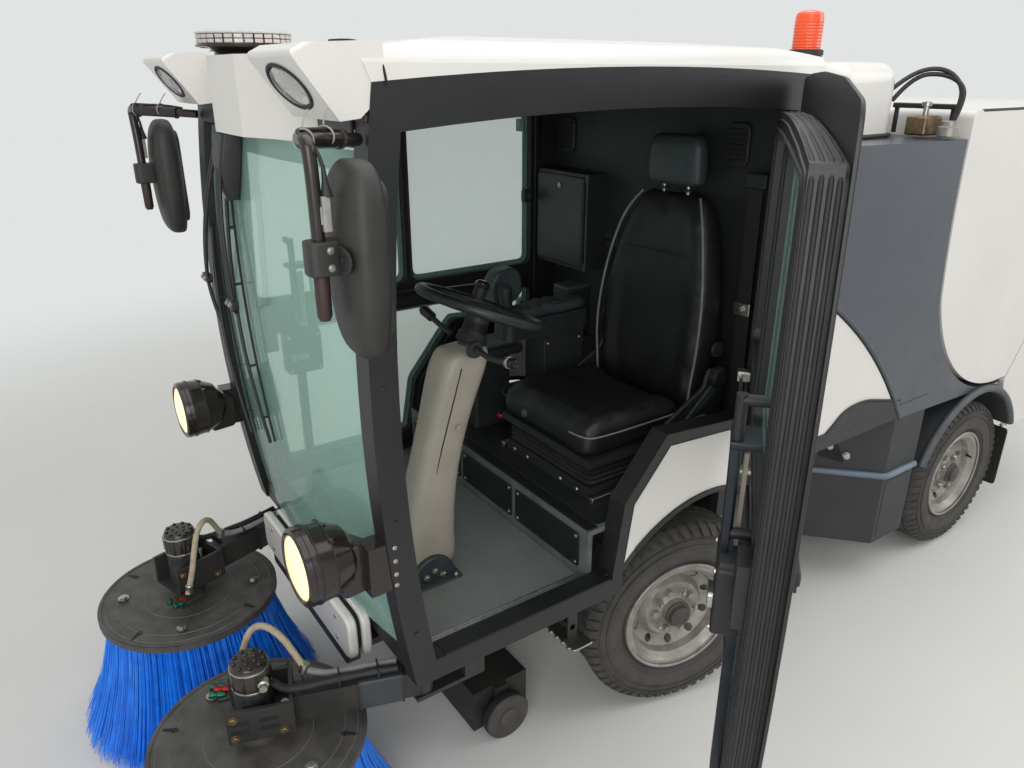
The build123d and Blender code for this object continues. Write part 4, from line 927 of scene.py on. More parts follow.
def lamp_cells():
    bm = bmesh.new()
    for a in turns(CELLS):
        for low, high in ((5, 13), (15, 23)):
            ring = []
            for r in (104, 107.6):
                for da, h in ((-0.085, low), (0.085, low), (0.085, high), (-0.085, high)):
                    ring.append(at(DISC[0] + r * math.cos(a + da), DISC[1] + r * math.sin(a + da),
                                   DISC[2] + h))
            skin_into(bm, [ring[:4], ring[4:]])
    bevelled(piece("lamp_cells", bm, led_cell), 0.8)


def warning_lamp():
    lamp_cells()
    body = [(72, -21), (70, -13), (82, -5), (98, -1), (104, 1), (104, 27), (90, 29), (1, 30)]
    lamp_body = lathe("lamp_body", body, at(*DISC), UP, gloss_black, segments=72)
    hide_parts("warning_light")
    base_rim = [(100, -4), (110, -2), (111, 1), (108.5, 3), (104, 3)]
    lathe("lamp_base_rim", base_rim, at(*DISC), UP, gloss_black, segments=72, caps=False)
    top_rim = [(104, 24), (108.6, 25), (109, 28), (104, 31), (92, 32.5), (40, 34), (1, 34.5)]
    lathe("lamp_top_rim", top_rim, at(*DISC), UP, clear_cover, segments=72, caps=False)
    heads("lamp_screws", around(DISC, 78, DISC[2] + 32, (0.4, 2.5, 4.6)), UP, 4, 3, zinc)


def beacon():
    ribs = [point for k in range(9) for point in ((38.9, 10 + k * 8), (37.4, 14 + k * 8))]
    dome = [(38.5, 0), (39.5, 4), (37.6, 7)] + ribs + [(37.5, 86), (34, 96), (24, 101.5), (1, 103)]
    lathe("beacon_ribs", dome, at(*BEACON, 1954), UP, amber, segments=48, caps=False)
    collar = [(40, -12), (47, -10), (47, 2), (42, 5), (39, 5)]
    lathe("beacon_collar", collar, at(*BEACON, 1954), UP, rubber_black, segments=40, caps=False)
    lathe("beacon_foot", [(34, 0), (34, 5), (20, 12), (18, 40)], at(*BEACON, 1710), UP, powder)
    heads("beacon_foot_bolts", around(BEACON, 27, 1714, (0.8, 2.9, 5.0)), UP, 4, 4, zinc)


warning_lamp()
beacon()
print("lamps")

# %% [markdown]
# Doors. Each door is a steel frame with hollow rubber seals pressed on its edges: four
# ribs run right round it, and an outer flange laps over the cab's frame. Everything is
# made on the closed left door, and then turned to where that door stands or mirrored
# to the right.

# %% Door outlines
DOOR_IN, DOOR_OUT = 527, 572
HINGE = (591, 206)


def saddle(drop):
    return [(-354 + drop, 614), (-325 + drop * 0.94, 826 - drop * 0.3), (-182 + drop * 0.4, 995 - drop)]


def door_outline(gap):
    """Outline of the door in (y, z), clear of the opening's edge by a gap."""
    front = [(pillar(z, 62 + gap), z) for z in (600 + gap, 760, 920, 1080, 1240, 1400, 1560, 1700,
                                                1801 - gap)]
    top = [(-700, 1816 - gap), (-350, 1828 - gap), (-50, 1823 - gap), (200 - gap, 1811 - gap)]
    low = saddle(-gap)
    return front + top + [(200 - gap, 1400), (200 - gap, 962 + gap), low[2], low[1], (low[0][0], 600 + gap)]


def lap_outline():
    """Outline of the door's outer flange in (y, z). It laps over the frame, and most over the header."""
    front = [(pillar(z, 54), z) for z in (600, 760, 920, 1080, 1240, 1400, 1560, 1700, 1868)]
    top = [(-700, 1894), (-350, 1902), (-50, 1898), (184, 1886)]
    low = saddle(12)
    return front + top + [(184, 1400), (184, 950), low[2], low[1], (low[0][0], 600)]


def pane_outlines(inset):
    """Outlines of the two upper panes and the lower one in (y, z), made smaller by an inset."""
    d = 50 + inset
    high, waist, rear = 1775 - inset, 1212 + inset, 200 - d
    first = [(pillar(high, 62) + d, high - 8), (-384 - inset, high), (-384 - inset, waist),
             (pillar(waist, 62) + d, waist)]
    second = [(-360 + inset, high), (rear, high - 6), (rear, waist), (-360 + inset, waist)]
    edge = saddle(-d)
    low, top = 600 + d, 1120 - inset
    slope = (edge[2][1] - edge[1][1]) / (edge[2][0] - edge[1][0])
    third = [(pillar(low, 62) + d, low), (edge[0][0], low), edge[1],
             (edge[2][0], edge[1][1] + slope * (edge[2][0] - edge[1][0])), (rear, 972 + d), (rear, top),
             (pillar(top, 62) + d, top)]
    return first, second, third

# %% A piece's place on its door


def to_door(made, side):
    """Fit a piece that is drawn on the closed left door to the door it belongs to."""
    if side == "left":
        hinge = at(*HINGE, 0)
        turn = Matrix.Translation(hinge) @ Matrix.Rotation(math.radians(DOOR_OPEN), 4, "Z")
        made.data.transform(turn @ Matrix.Translation(-hinge))
    else:
        centre = at(0, 0, 0)
        mirror = Matrix.Scale(-1, 4, TO_LEFT)
        made.data.transform(Matrix.Translation(centre) @ mirror @ Matrix.Translation(-centre))
        made.data.flip_normals()
    return made


def on_door(make, name, side, *shape, **more):
    return to_door(make(name + "_" + side, *shape, body="door_" + side, **more), side)


def door_loop(name, side, outline, x, radius, material=seal):
    loop = [(x, y, z) for y, z in outline]
    on_door(pipe, name, side, loop, radius, material, closed=True, straight=True)


def rings_in_x(steps):
    return [[at(x, y, z) for y, z in loop] for x, loop in steps]

# %% Door seals, flange and panes
SEAL_RIBS = ((532, 9.5, 4.5), (544, 8.5, 4), (556, 8.5, 4), (567, 9.5, 4.5))


def door_flange(side):
    outer = round_corners(lap_outline(), 30, 5)
    inner = round_corners(door_outline(26), 26, 5)
    back_edge = round_corners(door_outline(12), 26, 5)
    rings = rings_in_x(((577.5, outer), (583.5, outer), (583.5, inner), (577.5, inner), (577.5, outer)))
    bevelled(on_door(skin, "door_flange", side, rings, powder, caps=False), 2)
    rings = rings_in_x(((571, back_edge), (578, back_edge), (578, inner), (571, inner)))
    on_door(skin, "door_flange_web", side, rings, powder, caps=False)


def door_panes(side):
    for k, x in enumerate((DOOR_IN - 1, DOOR_OUT + 0.5)):
        for j, pane in enumerate(pane_outlines(-3)):
            corner = 36 if j < 2 else 20
            door_loop("pane_gasket_%d%d" % (k, j), side, round_corners(pane, corner, 5), x, 5)
    for j, pane in enumerate(pane_outlines(16)):
        outer = round_corners(pane_outlines(0)[j], 32 if j < 2 else 18, 5)
        inner = round_corners(pane, 26 if j < 2 else 12, 5)
        rows = [[at(551.4, y, z) for y, z in loop + loop[:1]] for loop in (outer, inner)]
        on_door(sheet, "pane_band_%d" % j, side, rows, frit, thick=0.6)


def door_frame(side):
    for k, (x, gap, radius) in enumerate(SEAL_RIBS):
        door_loop("door_seal_%d" % k, side, round_corners(door_outline(gap), 30, 5), x, radius)
    door_flange(side)
    door_panes(side)
    door_loop("door_step", side, round_corners(door_outline(24), 26, 5), DOOR_IN - 0.5, 3.2, powder)

# %% [markdown]
# Inside each door are a latch box with its release lever, a pull frame and a gas strut
# low on the waist rail. Outside are the handle and the hinges' caps.

# %% Door hardware
STRUT = (503, -640, 1192), (503, -30, 1166)


def door_latch(side):
    on_door(slab, "latch_box", side, rounded(-852, -732, 977, 1117, 12), "x", 474, 526, powder, bevel=5)
    on_door(slab, "latch_lid", side, rounded(-848, -736, 1111, 1125, 5), "x", 478, 526, moulded, bevel=2)
    lever = round_corners([(-840, 1023), (-782, 1031), (-782, 1047), (-840, 1055)], 7)
    on_door(slab, "latch_lever", side, lever, "x", 464, 478, zinc, bevel=2)
    screws = [(473.5, y, z) for y in (-842, -742) for z in (989, 1105)]
    on_door(heads, "latch_screws", side, screws, (-1, 0, 0), 4, 3, zinc)


def door_pull(side):
    for k, y in enumerate((-808, -746)):
        rings = [[at(x + u, y + v, z) for u, v in rectangle(-7, 7, -4, 4)]
                 for x, z in ((484, 1121), (484, 1205), (482, 1331))]
        bevelled(on_door(skin, "pull_bar_%d" % k, side, rings, pull_blue), 1.5)
    on_door(slab, "pull_top", side, rounded(-816, -738, 1325, 1339, 4), "x", 474, 527, pull_blue, bevel=2)
    on_door(slab, "pull_blade", side, rounded(-790, -764, 1127, 1310, 3), "x", 500, 508, pale_strap,
            bevel=1)
    on_door(slab, "latch_rod_cover", side, rounded(-812, -784, 622, 980, 5), "x", 506, 526, pull_blue,
            bevel=2)


def door_strut(side):
    direction = Vector(STRUT[1]) - Vector(STRUT[0])
    length = direction.length
    barrel = [(5, 0), (11, 4), (11, length * 0.62), (8, length * 0.63), (5, length * 0.64)]
    on_door(lathe, "strut_barrel", side, barrel, at(*STRUT[0]), direction, powder, segments=24)
    rod = [(4.5, length * 0.64), (4.5, length), (3, length + 2)]
    on_door(lathe, "strut_rod", side, rod, at(*STRUT[0]), direction, zinc, segments=16)
    for k, (x, y, z) in enumerate(STRUT):
        foot = rounded(y - 16, y + 16, z - 14, z + 14, 6)
        on_door(slab, "strut_foot_%d" % k, side, foot, "x", x - 10, DOOR_IN, zinc, bevel=2)


def door_outside(side):
    on_door(slab, "handle_plate", side, rounded(-908, -786, 1126, 1170, 12), "x", 571.5, 576, powder,
            bevel=1.5)
    lock = [(13, 0), (14, 3), (11, 6), (1, 6.5)]
    on_door(lathe, "handle_lock", side, lock, at(598, -814, 1148), TO_LEFT, zinc, segments=28)
    on_door(slab, "handle_paddle", side, rounded(-900, -832, 1136, 1160, 8), "x", 597, 603, moulded,
            bevel=2.5)
    cap = [(13.6, 22.2), (14.2, 24), (12, 27), (8, 28)]
    for k, z in enumerate((1040, 1720)):
        screws = [(591.5, y, z) for y in (142, 166)]
        on_door(heads, "hinge_screws_%d" % k, side, screws, TO_LEFT, 5, 4, zinc)
        on_door(lathe, "hinge_cap_%d" % k, side, cap, at(*HINGE, z), UP, zinc, segments=24, caps=False)

# %% Door openings and doors


def opening_loop(name, side, x, gap, radius, material):
    """Loop round the cab's opening, which stays with the cab."""
    loop = [(x, y, z) for y, z in round_corners(door_outline(gap), 30, 5)]
    made = pipe(name + "_" + side, loop, radius, material, closed=True, straight=True)
    if side == "right":
        to_door(made, side)


for side, _ in SIDES:
    for dress in (door_frame, door_latch, door_pull, door_strut, door_outside):
        dress(side)
    opening_loop("frame_seal", side, 549, -7, 3.4, seal)
    opening_loop("frame_edge", side, 519, -10, 4.2, powder)
print("doors")

# %% [markdown]
# Cab sides. The black saddle frame meets the white fender in a small rolled lip, and
# the arch wears a rubber edge. The sill has an aluminium tread edge. A rubber strip
# runs along the header, and screws go up the pillar.

# %% Cab edges
ARCH_RADIUS = 439


def arch_edge(side, sign):
    angles = [math.radians(38 + k * 104 / 24 + 14) for k in range(25)]
    arch = [(sign * 574, -ARCH_RADIUS * math.cos(a), WHEEL_HEIGHT + ARCH_RADIUS * math.sin(a))
            for a in angles]
    arch = [p for p in arch if p[1] > -330]
    pipe("arch_edge_" + side, arch, 8.5, rubber_black, straight=True)
    saddle_trim = [(sign * 573.5, y, z) for y, z in [(-316, 640)] + saddle(36)[1:] + [(268, 929)]]
    pipe("saddle_trim_" + side, saddle_trim, 2.6, seal, straight=True)


def sill(side, sign):
    tread = rounded(*pair(sign, 470, 512), -880, -400, 6)
    slab("tread_edge_" + side, tread, "z", 575.4, 578.4, brushed_alloy, bevel=1.2)
    for k in range(4):
        x = sign * (479 + k * 8)
        slab("tread_rib_%d_%s" % (k, side), rectangle(*sorted((x - 1.6, x + 1.6)), -872, -408), "z", 578,
             580, brushed_alloy, bevel=0.6)
    slab("sill_cap_" + side, rounded(*pair(sign, 517, 574.5), -884, -362, 5), "z", 600.3, 603, sill_black,
         bevel=1)


def cab_lines(side, sign):
    rail = [(sign * 571, y, z) for y, z in ((-960, 1858), (-780, 1879), (-560, 1892), (-350, 1897),
                                            (-100, 1894), (120, 1886), (264, 1878))]
    pipe("header_rail_" + side, rail, 4.2, seal)
    post = [(sign * 575, 236, z) for z in (960, 1200, 1600, 1860)]
    pipe("post_rib_" + side, post, 4, powder, straight=True)
    caps = [(sign * 575, pillar(z, 30), z) for z in (700, 1010, 1320, 1640)]
    heads("pillar_screws_" + side, caps, (sign, 0, 0), 5, 3, powder, sides=12)
    loom = [(sign * 505, pillar(z, 50), z) for z in (640, 900, 1200, 1500, 1780)]
    pipe("pillar_trim_" + side, loom, 13, trim)


for side, sign in SIDES:
    for dress in (arch_edge, sill, cab_lines):
        dress(side, sign)
slab("floor_mat", rounded(-512, 512, -898, -400, 12), "z", 575.3, 577.4, deck_mat, bevel=0.8)
print("cab edges")

# %% [markdown]
# Seat. A suspension seat in black vinyl: a thick crowned cushion with raised bolsters,
# a tall back with two bolsters piped in grey, and a padded headrest. The foam is blown
# up under its cover, so each pad starts as a closed form and is inflated by cloth with
# pressure.

# %% Inflated pads
SEAT_X = 180


def pad_shape(name, rings, material):
    bm = bmesh.new()
    skin_into(bm, rings)
    made = piece(name, bm, material, smooth=60)
    bpy.context.view_layer.objects.active = made
    remesh = made.modifiers.new("remesh", "REMESH")
    remesh.mode = "VOXEL"
    remesh.voxel_size = 0.009
    smooth = made.modifiers.new("smooth", "SMOOTH")
    smooth.iterations = 6
    return made


def settle(made, most_mm):
    """Apply a piece's modifiers as its new mesh, with no point further than a cap."""
    graph = bpy.context.evaluated_depsgraph_get()
    new = bpy.data.meshes.new_from_object(made.evaluated_get(graph))
    made.modifiers.clear()
    old = made.data
    if most_mm and len(old.vertices) == len(new.vertices):
        cap = most_mm / 1000
        for vertex, before in zip(new.vertices, old.vertices):
            move = vertex.co - before.co
            if move.length > cap:
                vertex.co = before.co + move.normalized() * cap
    made.data = new
    new.polygons.foreach_set("use_smooth", [True] * len(new.polygons))
    return made


def inflate(made, pressure=4.0, most_mm=14):
    settle(made, 0)
    cloth = made.modifiers.new("cloth", "CLOTH")
    cloth.settings.use_pressure = True
    cloth.settings.uniform_pressure_force = pressure
    cloth.settings.effector_weights.gravity = 0
    cloth.settings.quality = 4
    for step in range(1, 21):
        SCENE.frame_set(step)
    settle(made, most_mm)
    SCENE.frame_set(1)
    return subdivided(made)


def cross(y, half, low, top, bolster, dip):
    """Section of the cushion across the seat: a dished middle between two bolsters."""
    points = [(-half + 12, low), (-half, low + 22), (-half, top - 26), (-half + 16, top - 4 + bolster),
              (-half + 62, top - 2 + bolster), (-half + 108, top - dip), (0, top - dip - 3),
              (half - 108, top - dip), (half - 62, top - 2 + bolster), (half - 16, top - 4 + bolster),
              (half, top - 26), (half, low + 22), (half - 12, low)]
    return [at(SEAT_X + u, y, v) for u, v in points]


cushion_rows = [
    cross(-318, 196, 886, 944, -4, 4), cross(-306, 216, 880, 966, 0, 4), cross(-270, 226, 878, 977, 3, 6),
    cross(-160, 228, 878, 976, 4, 10), cross(-20, 226, 878, 973, 4, 12), cross(58, 220, 880, 968, 2, 10),
    cross(72, 206, 888, 956, 0, 6),
]
cushion = inflate(pad_shape("cushion_pad", cushion_rows, vinyl), 3.5, 10)
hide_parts("seat_cushion")


def back_row(z, y, half, front, rear, bolster):
    """Section of the back at a height: proud bolsters each side of a flatter middle."""
    points = [(-half, y + rear - 20), (-half - 2, y), (-half + 6, y - front - bolster + 8),
              (-half + 30, y - front - bolster), (-half + 66, y - front - bolster * 0.4),
              (-half + 96, y - front), (0, y - front + 3), (half - 96, y - front),
              (half - 66, y - front - bolster * 0.4), (half - 30, y - front - bolster),
              (half - 6, y - front - bolster + 8), (half + 2, y), (half, y + rear - 20),
              (half - 16, y + rear), (0, y + rear + 2), (-half + 16, y + rear)]
    return [at(SEAT_X + u, v, z) for u, v in points]


back_rows = [back_row(890, 146, 196, 30, 38, 8), back_row(908, 146, 212, 36, 40, 12),
             back_row(980, 150, 220, 40, 42, 18), back_row(1130, 158, 234, 40, 42, 20),
             back_row(1270, 168, 226, 36, 42, 20), back_row(1400, 178, 200, 32, 40, 16),
             back_row(1500, 188, 166, 28, 36, 10), back_row(1552, 193, 138, 22, 28, 4),
             back_row(1568, 195, 118, 14, 18, 0),]
back = inflate(pad_shape("back_pad", back_rows, vinyl), 3.5, 9)
rest_rows = []
for z, w, d in ((1584, 190, 50), (1594, 214, 66), (1640, 222, 74), (1700, 212, 72), (1724, 188, 58),
                (1732, 160, 36)):
    rest_rows.append([at(SEAT_X + u, 189 + v, z) for u, v in oval(w, d, 24, 3.2)])
rest = inflate(pad_shape("headrest_pad", rest_rows, grey_vinyl), 3.0, 7)
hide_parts("seat_backrest")
print("pads", len(cushion.data.vertices), len(back.data.vertices), len(rest.data.vertices))

# %% [markdown]
# Seat trim. Grey piping is sewn along the bolsters, and seams cross the pads. Moulded
# covers hold the recliner and its lever. The base has rubber bellows between two slide
# rails, and a bright jack with a yellow cap.

# %% Seat seams and headrest posts
SEAMS = (
    ("back_piping_", 4, piping_grey, ((206, 92, 900), (214, 88, 1000), (228, 92, 1130), (218, 108, 1280),
                                      (190, 124, 1410), (156, 144, 1510), (120, 170, 1556))),
    ("back_seam_", 2.2, seal, ((142, 112, 906), (146, 108, 1000), (148, 112, 1130), (136, 126, 1280),
                               (110, 142, 1400), (86, 152, 1480))),
    ("cushion_seam_", 2.2, seal, ((146, -316, 962), (150, -290, 974), (150, -150, 974), (146, 0, 970),
                                  (142, 60, 962))),
    ("cushion_welt_", 2.6, piping_grey, ((150, -326, 948), (208, -318, 944), (236, -280, 950),
                                         (238, -120, 950), (234, 50, 948))),
)
for side, sign in SIDES:
    for name, radius, material, places in SEAMS:
        plain = name == "cushion_welt_" and side == "right"
        line = [(SEAT_X + sign * u, y, z) for u, y, z in places]
        pipe(name + side, line, radius, seal if plain else material)
    rod_x = SEAT_X + sign * 50
    lathe("headrest_post_" + side, [(6, 0), (6.2, 4), (6.2, 34), (5, 36)], at(rod_x, 192, 1556), UP, zinc,
          segments=20)
    lathe("headrest_socket_" + side, [(14, 0), (13, 6), (8, 9)], at(rod_x, 192, 1566), UP, trim,
          segments=24, caps=False)
across = [(SEAT_X + u, 118 - 0.0006 * u * u, 1390) for u in (-118, -60, 0, 60, 118)]
pipe("back_cross_seam", across, 2, seal)
pipe("cushion_cross_seam", [(SEAT_X + u, -262, 974) for u in (-148, -70, 0, 70, 148)], 2, seal)
lathe("cushion_button", [(13, 0), (12, 4), (6, 6), (1, 6.5)], at(SEAT_X - 60, -331, 930), (0, -1, 0.2),
      grey_vinyl, segments=24)

# %% Recliner and suspension
for side, sign in SIDES:
    x = SEAT_X + sign * 232
    arm = round_corners([(70, 872), (196, 884), (210, 990), (176, 1064), (138, 1070), (118, 1010),
                         (-40, 926), (-52, 900)], 14)
    slab("recliner_cover_" + side, arm, "x", *sorted((x, x + sign * 14)), trim, bevel=4)
    lathe("recliner_knob_" + side, [(30, 0), (34, 3), (34, 18), (26, 24), (1, 26)],
          at(x + sign * 14, 165, 1040), (sign, 0, 0), seal, segments=12, smooth=20)
    lathe("recliner_boss_" + side, [(22, 0), (24, 3), (22, 10), (1, 12)], at(x + sign * 12, 158, 1128),
          (sign, 0, 0), trim, segments=28)
    lever = round_corners([(40, 925), (60, 913), (160, 985), (178, 1020), (160, 1032), (140, 1012)], 8)
    slab("recliner_lever_" + side, lever, "x", *sorted((x + sign * 14, x + sign * 22)), grey_vinyl, bevel=3)
    slab("recliner_tag_" + side, rounded(94, 134, 902, 922, 3), "x",
         *sorted((x + sign * 13, x + sign * 15)), pale_strap, bevel=0.5)
for k, z in enumerate((786, 802, 818, 834)):
    outline = rounded(SEAT_X - 206, SEAT_X + 206, -292, 92, 30)
    rings = [[at(SEAT_X + (px - SEAT_X) * f, py * f + (1 - f) * -100, z + dz) for px, py in outline]
             for f, dz in ((0.95, -7), (1.0, 0), (0.95, 7))]
    skin("bellows_fold_%d" % k, rings, rubber_black, caps=False, smooth=50)
slab("slide_rail_left", rectangle(400, 416, -300, 150), "z", 737, 757, zinc, bevel=2)
slab("slide_rail_right", rectangle(-56, -40, -300, 150), "z", 737, 757, zinc, bevel=2)
JACK_OUT = (0.28, 1, 0.16)
lathe("jack_barrel", [(22, 0), (25, 4), (25, 96), (18, 104), (18, 150)], at(322, -150, 762),
      JACK_OUT, zinc, segments=28)
lathe("jack_cap", [(20, 0), (26, 2), (27, 18), (24, 21)], at(317, -168, 759), JACK_OUT, yellow_cap,
      segments=12)
lathe("jack_cap_core", [(9, 0), (9, 3), (1, 3.4)], at(316.5, -170, 758.6), (-0.28, -1, -0.16), seal,
      segments=16)
heads("seat_base_bolts", [(x, -297, 757) for x in (20, 90, 260, 340)], AHEAD, 6, 5, zinc)
lathe("seat_red_button", [(11, 0), (12, 3), (9, 9), (1, 11)], at(-100, -272, 826), (0, -1, 0.1),
      coupling_red, segments=20)

# %% [markdown]
# Armrest and console. The right armrest is a padded block with a joystick, a switch
# panel and a grey top, on a moulded post.

# %% Armrest and console
top_rows = []
for z, w, d in ((1150, 86, 344), (1160, 92, 352), (1176, 90, 348), (1184, 74, 328)):
    top_rows.append([at(-125 + u, -85 + v, z) for u, v in oval(w, d, 28, 3.4)])
arm_pad = inflate(pad_shape("armrest_pad", top_rows, grey_vinyl), 2.5, 6)
pod = round_corners([(-250, 1186), (-160, 1186), (-128, 1222), (-140, 1290), (-176, 1306), (-232, 1296),
                     (-262, 1244)], 20)
slab("control_pod", pod, "x", -232, -172, grey_vinyl, bevel=8)
lathe("stick_gaiter", [(30, 0), (26, 10), (28, 14), (22, 24), (24, 28), (17, 38), (17, 44)],
      at(-125, -226, 1150), (0, -0.1, 1), rubber_black, segments=28, caps=False)
lathe("stick_grip", [(15, 0), (19, 10), (21, 34), (23, 58), (20, 74), (1, 80)], at(-125, -229, 1186),
      (0, -0.1, 1), trim, segments=28)
for k in range(4):
    lathe("stick_button_%d" % k, [(4.5, 0), (4.5, 3), (1, 4)], at(-131 + 12 * (k % 2), -252 + 2 * (k // 2),
                                                                  1232 + 14 * (k // 2)), (0, -1, 0.25),
          (coupling_red, coupling_green, pale_strap, piping_grey)[k], segments=16)
for row in range(3):
    for k in range(2):
        x, y = -146 + 40 * k, -140 + 46 * row
        slab("console_key_%d%d" % (row, k), rounded(x - 14, x + 14, y - 16, y + 16, 5), "z", 1184, 1192,
             moulded, bevel=2)
side_panel = rounded(-110, 52, 770, 1070, 12)
slab("console_side", side_panel, "x", -80.5, -75, trim, bevel=2)
heads("console_screws", [(-75, y, z) for y in (-96, 38) for z in (786, 1054)], TO_LEFT, 4, 3, zinc)
lower = rounded(-330, -176, -330, -120, 20)
slab("console_tray", lower, "z", 1000, 1032, trim, bevel=8)
slab("console_tray_post", rounded(-290, -216, -300, -150, 16), "z", 735.3, 1001, trim, bevel=4)
slab("tray_cover", rounded(-316, -190, -316, -134, 14), "z", 1031, 1040, grey_vinyl, bevel=3)
bin_outline = rounded(-262, -180, 60, 180, 18)
slab("side_bin", bin_outline, "z", 1010, 1190, trim, bevel=8)
slab("side_bin_lid", bin_outline, "z", 1186, 1200, grey_vinyl, bevel=5)
print("seat and console")

# %% [markdown]
# Steering. The column is painted plastic with a seam. A small hub cap, spoke covers
# and a spinner knob finish the wheel, and two stalks reach out below it. The foot has
# a round steel knuckle with bolts in it.

# %% Steering
TILT = math.radians(22)
WHEEL_AT = (180, -520, 1312)
WHEEL_RADIUS = 172
WHEEL_TURN = Matrix.Rotation(-TILT, 3, "X")


def on_wheel(u, v, w):
    p = WHEEL_TURN @ Vector((u, v, w))
    return WHEEL_AT[0] + p.x, WHEEL_AT[1] + p.y, WHEEL_AT[2] + p.z


AXLE = tuple(WHEEL_TURN @ Vector(UP))
lathe("wheel_cap", [(40, 4), (36, 10), (20, 14), (1, 15)], at(*on_wheel(0, 0, 2)), AXLE, trim,
      "steering_wheel", segments=40)
lathe("wheel_cap_ring", [(42, 0), (44, 4), (41, 8), (38, 6)], at(*on_wheel(0, 0, 2)), AXLE, seal,
      "steering_wheel", segments=40, caps=False)
for k, angle in enumerate((90, 210, 330)):
    a = math.radians(angle)
    turned = Matrix.Rotation(a, 3, "Z")
    rings = []
    for r, half, high in ((38, 20, 8), (70, 17, 7), (120, 14, 5), (160, 18, 6)):
        ring = []
        for u, v in ((-half, -9), (half, -9), (half * 0.8, high * 0.4), (-half * 0.8, high * 0.4)):
            p = turned @ Vector((r, u, v - 2))
            ring.append(at(*on_wheel(p.x, p.y, p.z)))
        rings.append(ring)
    bevelled(skin("wheel_spoke_%d" % k, rings, trim, "steering_wheel"), 3)
grips = [on_wheel(WHEEL_RADIUS * math.cos(a), WHEEL_RADIUS * math.sin(a), 0) for a in turns(48)]
pipe("wheel_rim_cover", grips, 14.8, wheel_rubber, "steering_wheel", closed=True)
knob = math.radians(150)
kx, ky = WHEEL_RADIUS * math.cos(knob), WHEEL_RADIUS * math.sin(knob)
lathe("spinner_knob", [(13, 0), (17, 6), (13, 14), (16, 24), (22, 36), (22, 46), (14, 54), (1, 56)],
      at(*on_wheel(kx, ky, 10)), AXLE, gloss_black, "steering_wheel", segments=32)
lathe("spinner_clamp", [(18, -4), (20, 0), (20, 10), (16, 14)], at(*on_wheel(kx, ky, 4)), AXLE, trim,
      "steering_wheel", segments=24, caps=False)
lathe("column_boot", [(38, 0), (44, 4), (40, 16), (42, 22), (34, 34), (34, 60)], at(*on_wheel(0, 0, -100)),
      AXLE, rubber_black, segments=32, caps=False)

# %% Stalks
STALK_OUT = (1, 0.14, 0.12)
pipe("stalk_left", [(236, -590, 1236), (290, -596, 1232), (350, -596, 1226), (392, -586, 1234)], 8, trim)
lathe("stalk_left_tip", [(8, 0), (13, 4), (14, 36), (9, 44), (1, 46)], at(386, -587, 1233), STALK_OUT,
      gloss_black, segments=24)
lathe("stalk_left_ring", [(12, 0), (15.5, 2), (15.5, 8), (12, 10)], at(400, -585, 1234.6), STALK_OUT,
      zinc, segments=24, caps=False)
pipe("stalk_right", [(136, -590, 1240), (96, -598, 1250), (52, -604, 1268)], 8, trim)
lathe("stalk_right_tip", [(8, 0), (14, 4), (16, 40), (12, 50), (1, 52)], at(58, -603, 1266),
      (-1, -0.12, 0.36), gloss_black, segments=24)
lathe("stalk_socket", [(20, 0), (24, 3), (22, 12), (12, 14)], at(252, -592, 1228), TO_LEFT, trim, segments=24)

# %% Foot of the column
lathe("column_knuckle", [(62, -34), (66, -30), (66, 30), (62, 34), (24, 36), (1, 36)], at(237, -745, 584),
      TO_LEFT, knuckle_blue, segments=40)
heads("knuckle_bolts", [(273, -745, 610), (273, -720, 590), (273, -772, 596)], TO_LEFT, 8, 8, zinc)
slab("knuckle_plate", rounded(140, 300, -830, -668, 10), "z", 575.4, 582, knuckle_blue, bevel=2)
heads("knuckle_plate_bolts", [(x, y, 582) for x in (156, 284) for y in (-816, -684)], UP, 7, 6, zinc)
heads("column_screws", [(243, -712, 716), (246, -640, 1010)], (1, 0.1, 0), 7, 3, column_paint, sides=16)
column_line = [(238, -782, 640), (236, -742, 760), (236, -706, 900), (242, -660, 1060), (250, -628, 1180)]
pipe("column_seam", column_line, 1.8, joint_and_shade_black)
rings = [[at(86 + u, -700 + v * 0.9 + h * 0.35, 600 + v * 0.42 + h) for u, v in oval(64, 118, 20, 3.2)]
         for h in (0, 9)]
skin("pedal", rings, rubber_black)
pipe("pedal_arm", [(86, -672, 604), (86, -640, 588), (86, -620, 576)], 8, powder)
print("steering_wheel")

# %% [markdown]
# Rear wall and riser. The wall is pressed trim with two louvred vents, screws along its
# top, a switch panel, a wall box, a belt reel and a window latch. The riser under the
# seat has black access panels with screws in their corners.

# %% Rear wall and riser
for k, (x, z) in enumerate(((-446, 1688), (340, 1706))):
    vent = rounded(x - 40, x + 40, z - 62, z + 62, 26)
    slab("vent_frame_%d" % k, vent, "y", 261, 269.8, trim, bevel=3)
    for j in range(7):
        zz = z - 42 + j * 14
        slab("vent_louvre_%d%d" % (k, j), rectangle(x - 30, x + 30, zz - 4, zz + 3), "y", 257, 262, seal,
             bevel=1)
heads("wall_screws", [(x, 269.5, 1850) for x in range(-480, 481, 120)], AHEAD, 7, 4, seal, sides=12)
panel = rounded(-214, -150, 1322, 1366, 8)
slab("switch_panel", panel, "y", 262, 269.8, grey_vinyl, bevel=2)
for k, x in enumerate((-196, -168)):
    lathe("switch_socket_%d" % k, [(10, 0), (12, 2), (12, 5), (8, 6), (1, 5)], at(x, 262, 1344), AHEAD,
          seal, segments=24)
door_face = rounded(-500, -234, 1246, 1560, 14)
slab("wall_box_door", door_face, "y", 168, 174.2, wall_box_paint, bevel=3)
lathe("wall_box_lock", [(9, 0), (10, 3), (7, 5), (1, 5.5)], at(-366, 168, 1524), AHEAD, zinc, segments=24)
slab("wall_box_hinge", rounded(-238, -226, 1262, 1544, 4), "y", 164, 176, seal, bevel=2)
slab("window_latch", rounded(110, 146, 1450, 1494, 6), "x", -527, -505, trim, bevel=4)
